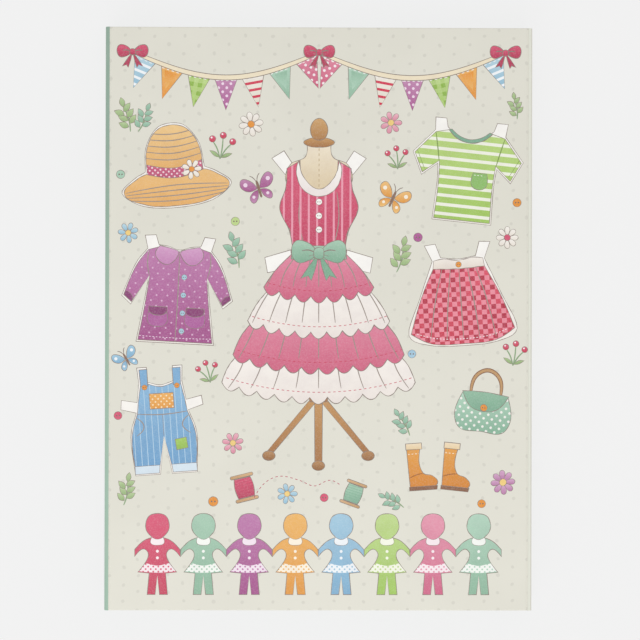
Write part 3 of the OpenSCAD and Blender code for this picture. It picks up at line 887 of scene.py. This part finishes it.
def draw_bunches(art):
    tuft = [(20, 120), (29.2, 115.6), (37.8, 118.4), (40, 129), (34.6, 138.4), (25, 141), (21, 132)]
    for _ in art.sides():
        bunch = art.shape(tuft, "#ecc77f", "#d8a756")
        for reach in (27, 31, 35):
            art.stroke([(24, 137), (reach + 2, 131), (reach, 118)], 0.6, "#b98436", bunch)
    nape = [(0, 116), (14, 118), (21.4, 122), (24.6, 136), (24.4, 148), (21.4, 160.4), (11.2, 167)]
    art.shape(both(nape + [(0, 168.6)]), "#ecc77f", "#d8a756")
    draw_face(art, "#6d93b0")
    parting = [(0, 158, 1), (9, 150), (19, 139), (21, 130, 1), (23.4, 142), (20.6, 158.6), (10.8, 165.8)]
    for _ in art.sides():
        lock = art.shape(parting + [(0, 167.4, 1)], "#f0cf8d", "#dcae5f")
        for reach in (10, 14, 18):
            art.stroke([(2, 164), (reach, 158), (reach + 3, 147)], 0.55, "#b98436", lock)
        with art.moved(25.4, 136.6, 0.5, -70):
            draw_bow(art, "#93bfd6", "#6b9fca")


doll_card = printed_finish("doll_card", white_card, roughness=0.42, tooth=0.000015)
for doll, hair, details in (
    ("doll_with_bob", draw_bob, ("#e79ab0", "#d5304f", "#b05a96", "#b4d6c0")),
    ("doll_with_bunches", draw_bunches, ("#a9cddd", "#6fa6cf", "#c8405c", "#c1d4a5")),
):
    low, high = (corner * 1000 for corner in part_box(doll))
    art = Artwork(card_outline(doll))
    with art.moved((low.x + high.x) / 2, low.y):
        draw_figure(art, *details)
        hair(art)
    piece = cut_card(art, doll + "_card", doll, doll_card)

# Stand feet
# Four half rounds of the same thick card. Two of them slot into a doll's base, crosswise, and
# stand it up. Each is printed with spots on a colour of its own, inside a white border.
foot_border = 1.2
for number, (ground, shade, spot) in enumerate(
    (
        ("#b4d6c0", "#94bda2", "#f4f3ec"),
        ("#e9a3b4", "#d98299", "#fbeef0"),
        ("#c1d4a5", "#a3bd80", "#f7f8ea"),
        ("#b3d3e2", "#8db8d0", "#f3f8fb"),
    ),
    1,
):
    foot = "stand_foot_" + str(number)
    rim = card_outline(foot)
    art = Artwork(rim)
    face = art.add(inset(rim, foot_border), ink(ground), ink(shade), None)
    art.dots(face, 5.6, 0.9, spot)
    piece = cut_card(art, foot + "_card", foot, doll_card)

# Pencils
# Six colouring pencils: a six-sided cedar casing, dipped in lacquer and sharpened to bare wood,
# round a wax core of the same colour. They lie loose along the tail of the tray.
for number, (name, colour) in enumerate(
    (
        ("plum", "#b05a96"),
        ("crimson", "#d5304f"),
        ("orange", "#e9952f"),
        ("lime", "#a9cf63"),
        ("mint", "#9dc5ac"),
        ("blue", "#6fa6cf"),
    ),
    1,
):
    casing, paint, sockets = new_finish("pencil_" + name, Coat_Roughness=0.12)
    bare = paint.math("ABSOLUTE", paint.facing().part("X")).between(0.08, 0.16)
    grain = paint.noise(0.0011, 4.0, 0.6, stretch=(0.12, 1, 1), seed=(0.03 * number, 0, 0))
    cedar = grain.between(0.35, 0.7).blend(ink("#d9b184"), ink("#c08f5e"))
    flecks = paint.noise(0.004, 2.0, 0.5, seed=(0, 0.1 * number, 0)).between(0.6, 0.9) * 0.12
    lacquer = flecks.blend(ink(colour), (1, 1, 1, 1))
    paint.feed(sockets["Base Color"], bare.blend(lacquer, cedar))
    paint.feed(sockets["Roughness"], bare * 0.4 + 0.3)
    paint.feed(sockets["Coat Weight"], (1 - bare) * 0.6)
    emboss(paint, sockets, grain * bare, depth=0.00005)
    dress(casing, "pencil_casing_" + str(number))
    core, paint, sockets = new_finish("core_" + name, Roughness=0.55)
    smear = paint.noise(0.0008, 3.0, 0.6)
    paint.feed(sockets["Base Color"], smear.between(0.3, 0.7).blend(ink(colour, 0.8), ink(colour)))
    emboss(paint, sockets, smear, depth=0.00004)
    dress(core, "pencil_core_" + str(number))

# Case papers
# Printed paper, laminated with a satin film and pasted over the boards: cream with faint grey spots
# on the back and the flap, plain mint on the spine, rubbed paler in streaks and painted darker towards the
# head.
cream = "#e1dfd3"
cream_spot = "#d5d3c8"
cream_spots = {"pitch": 0.0088, "column": 0.0077, "radius": 0.00088, "wander": 0.0042}
film = {"Roughness": 0.42, "Specular_IOR_Level": 0.4}
film_tooth = 0.000012
case_paper = spotted_paper("case_paper", cream, cream_spot, cream_spots, film_tooth, film)
dress(case_paper, "back_paper", "flap_paper")

spine_mint, paint, sockets = new_finish("spine_paper", **film)
rubbed = paint.noise(0.004, 5.0, 0.7, stretch=(1, 0.25, 1)).between(0.52, 0.75)
# The spine's mint is painted darker towards the head and lighter towards the tail.
up_spine = paint.where().part("Y") + paint.noise(0.05, 3.0) * 0.04
tint = up_spine.between(-0.02, 0.12).blend(ink("#a2bfad"), ink("#93ac9c"))
paint.feed(sockets["Base Color"], (rubbed * 0.3).blend(tint, ink("#b9c9bd")))
paper_tooth(paint, sockets, film_tooth)
dress(spine_mint, "spine_paper")


# Folds
# The covering paper bends freely between the boards, along the spine and along the fore edge.
# Each fold is a quarter round of paper.
def paper_strip(name, route, half_length, thickness, outward, material):
    """A strip along Y, creased along a route of x and z, with its thickness away from outward."""
    bpy.ops.object.select_all(action="DESELECT")
    span = 2 * half_length
    bpy.ops.mesh.primitive_plane_add(size=span, location=(route[0][0] + half_length, 0, route[0][1]))
    strip = bpy.context.object
    strip.name = name
    bpy.ops.object.transform_apply()
    bpy.ops.object.mode_set(mode="EDIT")
    bpy.ops.mesh.select_all(action="DESELECT")
    bpy.ops.object.mode_set(mode="OBJECT")
    for corner in strip.data.vertices:
        corner.select = corner.co.x > route[0][0] + half_length
    bpy.ops.object.mode_set(mode="EDIT")
    bpy.ops.mesh.delete(type="VERT")
    bpy.ops.mesh.select_mode(type="EDGE")
    bpy.ops.mesh.select_all(action="SELECT")
    bpy.ops.mesh.subdivide(number_cuts=11)
    for (x, z), (next_x, next_z) in zip(route, route[1:]):
        bpy.ops.mesh.extrude_region_move(TRANSFORM_OT_translate={"value": (next_x - x, 0, next_z - z)})
    bpy.ops.object.mode_set(mode="OBJECT")
    faces_out = sum(face.normal.dot(Vector(outward)) for face in strip.data.polygons) > 0
    sheet = strip.modifiers.new("sheet", "SOLIDIFY")
    sheet.thickness = thickness
    sheet.offset = -1 if faces_out else 1
    bpy.ops.object.modifier_apply(modifier="sheet")
    bpy.ops.object.mode_set(mode="EDIT")
    turn_faces_out()
    bpy.ops.object.shade_smooth_by_angle(angle=math.radians(40))
    strip.data.materials.append(material)
    return strip


fold_cream, paint, sockets = new_finish("flap_fold_paper", **film)
fold_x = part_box("front_paper")[1].x
worn = paint.noise(0.003, 5.0, 0.7, stretch=(1, 0.2, 1)).between(0.55, 0.8)
from_crease = paint.where().part("X") - fold_x
# Painted highlight: the level top of the fold next to the crease is paler, going back to cream where the
# fold turns down.
painted_fold_highlight = from_crease.between(0.0009, 0.0017).blend(ink("#eaebde"), ink(cream))
# Paler rubbed patches of real wear, laid over the painted highlight.
wear_over_highlight = (worn * 0.5).blend(painted_fold_highlight, ink("#f0efe4"))
# Painted shade: a darker grey band along the crease, within a fraction of a millimetre of it.
crease = 1 - from_crease.between(0.0003, 0.0007)
paint.feed(sockets["Base Color"], (crease * 0.4).blend(wear_over_highlight, ink("#c9c7bb")))
paper_tooth(paint, sockets, film_tooth)
low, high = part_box("spine_fold")
fold_r = high.z - low.z
fold_length = high.y
fold_steps = 10
paper_t = 0.0002
for side, node, material, slot, bodies in (
    (-1, "spine_fold", spine_mint, "spine_paper", ("base", "cover")),
    (1, "flap_fold", fold_cream, "cover_paper", ("cover", "flap")),
):
    axis_x = side * fold_x
    turns = [math.radians(90 * k / fold_steps) for k in range(fold_steps + 1)]
    roll_over = [(axis_x + side * fold_r * math.cos(a), low.z + fold_r * math.sin(a)) for a in turns]
    strip = paper_strip(node + "_paper", roll_over, fold_length, paper_t, (side, 0, 1), material)
    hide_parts(node)
    upright = (axis_x + side * fold_r, 0, low.z)
    level = (axis_x, 0, high.z)
    ends = (upright, level) if side < 0 else (level, upright)
    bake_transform(strip)

# Joint linings
# A strip of the lining paper is pressed into each joint from the inside, from board to board,
# over their bare edges.
lining_t = 0.00012
lining_half = fold_length - paper_t
board_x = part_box("front_board")[1].x
lining_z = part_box("cover_lining")[0].z
rim_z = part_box("tray_wrap")[1].z
flap_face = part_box("flap_lining")[0].x
flap_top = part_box("flap_board")[1].z
inner_r = fold_r - 2.5 * paper_t
gap = 0.0001
bends = [math.radians(a) for a in (15, 35, 55, 75)]
curl = [(fold_x + inner_r * math.cos(a), low.z + inner_r * math.sin(a)) for a in bends]
board_edge = [
    (fold_x - 5 * gap, low.z + inner_r),
    (board_x + gap, low.z + inner_r - 3 * gap),
    (board_x + gap, lining_z),
    (board_x - 4 * gap, lining_z - gap),
]
flap_edge = [
    (flap_face - gap, flap_top - 4 * gap),
    (flap_face, flap_top + gap),
    (fold_x + inner_r, flap_top + 2 * gap),
]
spine_edge = [
    (fold_x - 2 * gap, rim_z + gap),
    (fold_x, low.z + gap),
    (fold_x + inner_r - 4 * gap, low.z + gap),
]
for name, side, route, bodies in (
    ("spine_joint_lining", -1, spine_edge + curl + board_edge, ("base", "cover")),
    ("flap_joint_lining", 1, flap_edge + curl + board_edge, ("flap", "cover")),
):
    route = [(side * x, z) for x, z in route]
    strip = paper_strip(name, route, lining_half, lining_t, (side, 0, 1), lining_paper)
    lines = [side * x - z for x, z in route]
    start_line = min(lines[:3])
    end_line = max(lines[-3:])
    first = (route[0][0], 0, route[0][1])
    shift = (lines[0] - start_line) / 2
    reach = (start_line - end_line) / 2
    start = Vector(first) + Vector((-side * shift, 0, shift))
    start + Vector((-side * reach, 0, reach))
    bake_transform(strip)


# Cover paper
# The printed sheet of the cover, cream with faint spots under a satin film. It is drawn tight over the
# board, rounded over its head and tail, turned in there, and pressed into a groove beside each fold.
def draw_sprig(art, colour, shade):
    art.stroke([(0, 0), (1.2, 8), (0, 17)], 0.8, "#8aa67c")
    leaves = 6
    for k in range(leaves):
        with art.moved(0.9 * math.sin(k), 3 + 12.5 * k / leaves, turn=52 * (-1) ** k):
            art.shape([(0, 0, 1), (2.1, 3), (0, 7.4, 1), (-2.1, 3)], colour, shade, line=0.22)
    art.shape([(0, 16, 1), (1.9, 19.4), (0, 23, 1), (-1.9, 19.4)], colour, shade, line=0.22)


def draw_berries(art, colour, shade):
    for x, y, lean in ((-7, 12, -3), (0, 15.4, 0.5), (7, 12, 3)):
        art.stroke([(0, 0), (lean, 7), (x, y)], 0.7, "#8aa67c")
        art.shape(disc(x, y + 1, 2.4), colour, shade, line=0.24)
        art.shape(disc(x - 0.7, y + 1.8, 0.6), "#ffffff", line=0)
    for _ in art.sides():
        art.shape([(0, 1, 1), (4, 1.6), (8, 5, 1), (3.6, 4.6)], "#a9c38a", "#8fae72", line=0.22)


def draw_butterfly(art, colour, shade, spot):
    for _ in art.sides():
        hind_wing = [(0.6, -0.6, 1), (5, -1.6), (8.4, -5.4), (6.6, -9.4), (2.6, -7)]
        art.shape(hind_wing, shade, colour, line=0.28)
        fore_wing = [(0.6, 0, 1), (4, 6.6), (10, 9.6), (12.4, 5), (8, -0.4)]
        art.shape(fore_wing, colour, shade, line=0.28)
        art.shape(disc(8.4, 5, 1.5), spot, line=0)
        art.shape(disc(5.2, -5, 1.1), spot, line=0)
        art.stroke([(0.3, 5), (1.8, 8.6), (3.8, 10.4)], 0.45)
    art.shape(both([(0, -7), (0.9, -3), (1, 3), (0, 6)]), "#8a6a58", line=0.2)


def draw_reel(art, colour, shade):
    for y in (-9.4, 7):
        art.shape(both([(7.4, y, 1), (8.2, y + 1.3), (7.4, y + 2.6, 1)]), "#d9b184", "#c39a68")
    thread = art.shape(both([(5.8, -6.8, 1), (6.8, 0), (5.8, 7, 1)]), colour, shade)
    for k in range(7):
        art.stroke([(-7, -6 + 1.9 * k), (7, -5.2 + 1.9 * k)], 0.5, shade, thread)


def draw_handbag(art):
    handle = [(-9, 8), (-7, 19), (0, 23), (7, 19), (9, 8)]
    art.stroke(handle, 2.3, "#8a5f44")
    art.stroke(handle, 1.3, "#c39a68")
    bag = art.shape(both([(0, -14), (13, -13.4), (17, -6), (14, 8, 1), (0, 9)]), "#b4d6c0", "#86b498")
    art.dots(bag, 5, 0.8, "#f4f3ec")
    art.shape(both([(0, -2), (8, 0), (14.2, 9, 1), (0, 10)]), "#94bda2", "#7fae92")
    buttons(art, [(0, 0.4)], 2.2, "#e9952f")


def draw_boot(art):
    leather = [(-8, -16, 1), (10, -16, 1), (13, -12), (9, -7), (2.6, -4.6), (2.4, 17, 1), (-9, 17, 1)]
    boot = art.shape(leather + [(-8.4, -4)], "#e8a54a", "#d6852b")
    art.shape([(-8.6, -17.6, 1), (12, -17.6, 1), (12.6, -14.4, 1), (-8.6, -14.4, 1)], "#8a5f44", line=0.25)
    art.shape([(-9.4, 12.6, 1), (2.8, 12.6, 1), (2.8, 17.6, 1), (-9.4, 17.6, 1)], "#f6e3c2", "#ecd2a4")
    art.stroke([(-8, -8), (-3, -6), (2.4, -5)], 0.6, "#a8641f", boot)
    stitches(art, [(-7.8, 9.6), (1.8, 9.6)], "#fbeed8", boot)


def draw_chain_doll(art, colour, shade, trim, pitch):
    """One of a row of folded and cut paper figures, hand in hand with the next."""
    hand = pitch / 2
    half = [(0, 10, 1), (1, 0, 1), (5.4, 0, 1), (4.4, 11, 1), (10.2, 11.6, 1), (6, 23), (hand, 19.4, 1)]
    half += [(hand, 23.4, 1), (7, 28), (3, 29.6, 1), (5.8, 33), (6.2, 36.6), (4.4, 40.6), (0, 42)]
    figure = art.shape(both(half), colour, shade)
    hem = art.shape(both([(0, 11.4), (9.8, 12.2, 1), (9.2, 15.6), (0, 15)]), trim, clip=figure, line=0)
    art.dots(hem, 2.6, 0.5, colour)
    art.shape(both([(0, 25.4), (3.4, 26.4), (3, 29.8, 1), (0, 28.6)]), trim, line=0.2)
    for y in (19, 22.4):
        art.shape(disc(0, y, 0.75), trim, line=0)


def draw_dress_form(art):
    """A dressmaker's stand on a turned foot, wearing a tiered frock with white card tabs."""
    for foot_x, foot_y in ((-25, -72), (25, -72), (0, -77)):
        leg = [(-2.2, -42, 1), (2.2, -42, 1), (foot_x + 2, foot_y, 1), (foot_x - 2, foot_y, 1)]
        art.shape(leg, "#c9995f", "#a87342")
        art.shape(disc(foot_x, foot_y - 1, 3.4, 2.6), "#b98a5a", "#946336")
    art.shape(both([(0, -46), (4.4, -46, 1), (5.6, -38), (3, -30, 1), (0, -30)]), "#c9995f", "#a87342")
    for _ in art.sides():
        art.shape([(15, 66, 1), (24, 77, 1), (17.6, 81, 1), (10.4, 70, 1)], "#fdfbf6")
        art.shape([(13, 22, 1), (26, 19, 1), (27.4, 27, 1), (14, 31, 1)], "#fdfbf6")
    for half_top, top, half_hem, hem, lift, scallops, colour, shade in (
        (36, -18, 49, -44, 8, 11, "#fbf6f0", "#efe6df"),
        (30, -2, 43.4, -29, 7, 10, "#e48ba4", "#d0607f"),
        (22, 14, 36, -11, 6, 9, "#fbf6f0", "#efe6df"),
        (13.6, 29, 28, 7, 5, 7, "#e48ba4", "#d0607f"),
    ):
        panel = scalloped(half_top, top, half_hem, hem, lift, scallops, 3.2)
        tier = art.shape(panel, colour, shade, line=0.4)
        fold = [(half_top, top), (half_hem * 0.8, (top + hem) / 2 + 2), (half_hem * 0.93, hem + 5)]
        for fan in range(-4, 5):
            tuck_lines(art, tier, [(fan / 4 * x, y) for x, y in fold])
        trim = [(half_hem * s / 8, hem + lift * (s / 8) ** 2 + 3) for s in range(-8, 9)]
        stitches(art, trim, "#c8405c", tier)
    neck = [(12, 60, 1), (17, 66), (14.6, 74), (7, 78), (6.4, 85, 1), (0, 85)]
    form = art.shape(both(neck), "#f2e6cf", "#dfcba6")
    stitches(art, [(0, 60), (0, 84)], "#b79d70", form)
    bust = [(13, 27, 1), (15, 40), (20, 52), (17, 62), (16.4, 72, 1), (9.4, 76, 1), (7.4, 66), (0, 61)]
    bodice = art.shape(both(bust), "#dc5a79", "#c33f61", line=0.4)
    for _ in art.sides():
        tuck_lines(art, bodice, [(6, 28), (10, 46), (9, 60)], [(11, 28), (15, 42)])
    art.stripes(bodice, 4.2, 1.0, "#ee9fb2", upright=True)
    collar = [(0, 57.6), (8, 61), (11.6, 70), (10.2, 76.4, 1), (7.2, 67), (0, 61.6)]
    art.shape(both(collar), "#fdfbf6", "#f1e7e2")
    art.shape(both([(0, 25.6), (14.2, 26, 1), (13.4, 33.6, 1), (0, 33)]), "#a9cdb5", "#8db79c")
    with art.moved(0, 29, 0.85):
        draw_bow(art, "#a9cdb5", "#7fae92")
    buttons(art, [(0, y) for y in (41, 48, 55)], 1.7, "#fdfbf6")
    art.shape(disc(0, 85, 8, 2.6), "#c9995f", "#a87342")
    art.shape(both([(0, 86), (3, 87), (4.6, 91.6), (2.8, 96), (0, 97.4)]), "#d3a66c", "#ad7a46")


def draw_bunting(art, half_span, top, sag):
    """Two swags of tape with printed pennants sewn along them."""
    flags = (
        ("#e48ba4", "#d0607f", "dots", "#fbeef0"),
        ("#b4d6c0", "#94bda2", "plain", ""),
        ("#f4efe4", "#e8e0d0", "stripes", "#d5304f"),
        ("#c48ab2", "#b05a96", "dots", "#f3dcec"),
        ("#c6dd95", "#a9cf63", "gingham", "#93bb4d"),
        ("#f0b967", "#e9952f", "plain", ""),
        ("#bcdae6", "#93bfd6", "stripes", "#f7fbfd"),
    )
    width, drop = 12.4, 17.0
    for side in (-1, 1):
        tape = [(side * half_span * k / 12, top - sag * math.sin(math.pi * k / 12)) for k in range(13)]
        for k, (light, deep, pattern, mark) in enumerate(flags):
            share = (k + 0.5) / len(flags)
            x = side * half_span * share
            y = top - sag * math.sin(math.pi * share)
            slope = -sag * math.pi * math.cos(math.pi * share) / half_span * side
            with art.moved(x, y, 1, math.degrees(math.atan(slope))):
                flag = art.shape([(-width / 2, 0, 1), (width / 2, 0, 1), (0, -drop, 1)], light, deep)
                if pattern == "dots":
                    art.dots(flag, 4.2, 0.75, mark)
                elif pattern == "stripes":
                    art.stripes(flag, 3.6, 1.3, mark)
                elif pattern == "gingham":
                    art.gingham(flag, 4.4, "#b5d27c", mark)
                else:
                    inner = [(-0.28 * width, -2.4, 1), (0.28 * width, -2.4, 1), (0, -0.68 * drop, 1)]
                    art.shape(inner, deep, light, line=0)
                stitches(art, [(-width / 2 + 1, -1.6), (width / 2 - 1, -1.6)], "#fdfbf6", flag)
        art.stroke(tape, 3.0, "#8b7d74")
        art.stroke(tape, 2.2, "#f3e6c8")
    for x in (-half_span, 0, half_span):
        with art.moved(x, top, 0.5):
            draw_bow(art, "#d95474", "#b83a5a")


low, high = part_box("front_paper")
edge_round = 0.0005
turn_in = 0.008
sheet_half_y = high.y - edge_round
groove_x = fold_x - 0.0003
groove_half = 0.0008
groove_depth = 0.00017
edge_x = fold_x * 1000
edge_y = sheet_half_y * 1000
corners = ((-edge_x, -edge_y), (edge_x, -edge_y), (edge_x, edge_y), (-edge_x, edge_y))
art = Artwork([Vector(corner) for corner in corners])
for side in (-1, 1):
    for share in (-1, -0.5, 0, 0.5, 1):
        x = side * min(groove_x + share * groove_half, fold_x) * 1000
        art.creases.append(((x, -edge_y), (x, edge_y)))

draw_bunting(art, half_span=96, top=137, sag=13)
with art.moved(y=4, size=1.02):
    draw_dress_form(art)
wardrobe_scale = 0.66
for garment, x, y, turn in (
    ("sun_hat", -71, 47, 6),
    ("raincoat", -74, -13, -3),
    ("dungarees", -78, -80, 4),
    ("t_shirt", 73, 47, -6),
    ("skirt", 75, -16, 4),
):
    cell_x, cell_y = cells[garment]
    with art.moved(x, y, wardrobe_scale, turn):
        card = [(p.x - cell_x, p.y - cell_y, 1) for p in card_outline(garment)]
        art.shape(card, "#fdfbf6", "#f6f1e8", line=0.3)
        garments[garment](art)
with art.moved(85, -46, 0.86, -8):
    draw_handbag(art)
for x, turn in ((52, 4), (70, -6)):
    with art.moved(x, -76, 0.7, turn):
        draw_boot(art)
chain_pitch = 23.6
chain_foot = -142
chain_inks = (
    ("#dc5a79", "#c8405c", "#fbeef0"),
    ("#a9cdb5", "#8db79c", "#f7faf4"),
    ("#c07cae", "#a5508b", "#f6e6f1"),
    ("#f0b967", "#e39a3c", "#fdf3e0"),
    ("#a5cbe0", "#7fb0d0", "#f3f8fb"),
    ("#c1da8d", "#a2c95c", "#f8fae9"),
    ("#e79ab0", "#d26688", "#fdf0f3"),
    ("#b4d6c0", "#8db79c", "#f7faf4"),
)
for k, colours in enumerate(chain_inks):
    with art.moved((k - (len(chain_inks) - 1) / 2) * chain_pitch, chain_foot):
        draw_chain_doll(art, *colours, chain_pitch)
green_leaf = ("#b8cf9a", "#95b478")
mint_leaf = ("#a9cdb5", "#86b498")
red_berry = ("#dc5a79", "#c8304c")
white_petal = (8, "#faf6ee", "#eee6da")
pink_petal = (7, "#f0b6c4", "#dd8aa0", "#f3d07e")
blue_petal = (7, "#bcdae6", "#93bfd6", "#f3d07e")
for draw, (x, y, size, turn), details in (
    (draw_daisy, (-35, 100, 6.4, 10), (*white_petal, "#e9952f")),
    (draw_daisy, (37, 101, 5.8, 0), pink_petal),
    (draw_daisy, (-98, 44, 5.4, 20), blue_petal),
    (draw_daisy, (97, 42, 5.8, 0), (*white_petal, "#d95474")),
    (draw_daisy, (-44, -64, 5.6, 15), pink_petal),
    (draw_daisy, (95, -84, 6.4, 5), (8, "#d7a9cb", "#b977a6", "#f3d07e")),
    (draw_daisy, (-16, -90, 5.4, 0), blue_petal),
    (draw_sprig, (-97, 96, 0.8, 16), green_leaf),
    (draw_sprig, (-93, 96, 0.7, -22), mint_leaf),
    (draw_sprig, (102, 103, 0.62, 8), green_leaf),
    (draw_sprig, (-41, 26, 0.85, 14), mint_leaf),
    (draw_sprig, (40, 24, 0.85, -14), green_leaf),
    (draw_sprig, (47, -60, 0.7, 30), mint_leaf),
    (draw_sprig, (-100, -96, 0.75, -10), green_leaf),
    (draw_sprig, (44, -97, 0.66, 62), mint_leaf),
    (draw_berries, (-51, 82, 0.75, -8), red_berry),
    (draw_berries, (40.5, 77, 0.66, 4), red_berry),
    (draw_berries, (-55.6, -33, 0.64, 14), red_berry),
    (draw_berries, (100, -24, 0.7, -8), red_berry),
    (draw_butterfly, (-31, 67, 0.72, 18), ("#c48ab2", "#a5508b", "#f3dcec")),
    (draw_butterfly, (38, 62, 0.7, -24), ("#f3c47a", "#e39a3c", "#fdf3e0")),
    (draw_butterfly, (-98.8, -20.9, 0.55, 30), ("#a5cbe0", "#7fb0d0", "#f3f8fb")),
    (draw_reel, (-38, -87, 0.75, 14), ("#dc5a79", "#b83a5a")),
    (draw_reel, (18, -90, 0.68, -20), ("#a9cdb5", "#7fae92")),
):
    with art.moved(x, y, size, turn):
        draw(art, *details)
for x, y, radius, colour in (
    (-54, -94, 2.6, "#e9952f"),
    (3, -92, 2.2, "#d95474"),
    (48, -18, 2.2, "#a5cbe0"),
    (-43, 50, 2.3, "#c1da8d"),
    (51, 42, 2.4, "#b05a96"),
    (-102, 74, 2.3, "#a9cdb5"),
    (102, 60, 2.3, "#e9952f"),
    (-103, -50, 2.2, "#d95474"),
    (84, -95, 2.2, "#e9952f"),
):
    buttons(art, [(x, y)], radius, colour)
loose_thread = [(-33, -92), (-27, -84), (-20, -81), (-10, -83), (-2, -86), (6, -83), (12, -86)]
stitches(art, loose_thread, "#b83a5a")

cover_paper = art.lay("cover_paper", high.z)
for corner in cover_paper.data.vertices:
    reach = min(abs(abs(corner.co.x) - groove_x) / groove_half, 1)
    corner.co.z -= groove_depth * (1 + math.cos(math.pi * reach)) / 2
round_steps = 4
arc = [math.radians(90 * k / round_steps) for k in range(1, round_steps + 1)]
path = [(edge_round * math.sin(a), -edge_round * (1 - math.cos(a))) for a in arc]
under = low.z - high.z
path += [(edge_round, under + paper_t), (edge_round - paper_t, under), (edge_round - turn_in, under)]
path += [(edge_round - turn_in, under + paper_t), (edge_round - paper_t, under + paper_t)]
path += [(edge_round - paper_t, -paper_t), (0, -paper_t)]
bpy.ops.object.mode_set(mode="EDIT")
bpy.ops.mesh.select_mode(type="EDGE")


def pick_open_edges(test):
    """Select the open edges of the cover's paper whose two ends pass a test."""
    bpy.ops.mesh.select_all(action="DESELECT")
    bpy.ops.mesh.select_non_manifold()
    bpy.ops.object.mode_set(mode="OBJECT")
    for edge in cover_paper.data.edges:
        ends = [cover_paper.data.vertices[v].co for v in edge.vertices]
        edge.select = edge.select and test(*ends)
    bpy.ops.object.mode_set(mode="EDIT")


slack = 1e-6
for side in (-1, 1):
    pick_open_edges(lambda a, b: min(a.y * side, b.y * side) > sheet_half_y - slack)
    here = (0.0, 0.0)
    for out, down in path:
        step = (0, side * (out - here[0]), down - here[1])
        bpy.ops.mesh.extrude_region_move(TRANSFORM_OT_translate={"value": step})
        here = (out, down)
pick_open_edges(lambda a, b: min(abs(a.x), abs(b.x)) < fold_x - slack)
bpy.ops.mesh.bridge_edge_loops()
for side in (-1, 1):
    pick_open_edges(lambda a, b: min(a.x * side, b.x * side) > fold_x - slack)
    bpy.ops.mesh.fill()
turn_faces_out()
leave_bare(cover_paper, lambda face: abs(face.center.y) > sheet_half_y)
leave_bare(cover_paper, lambda face: face.center.z < high.z - 2 * paper_t)


def cream_ground(paint):
    """Cream paper with faint grey spots in staggered rows, a little paler in soft clouds."""
    mask = spots(paint, **cream_spots)
    cloud = paint.noise(0.04).between(0.3, 0.7).blend(ink(cream), ink("#e4e2d6"))
    return (mask * 0.8).blend(cloud, ink(cream_spot))


cover_print = printed_finish("cover_paper", cream_ground, film["Roughness"], film_tooth)
cover_paper.data.materials.append(cover_print)
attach(cover_paper, "cover")
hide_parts("front_paper")
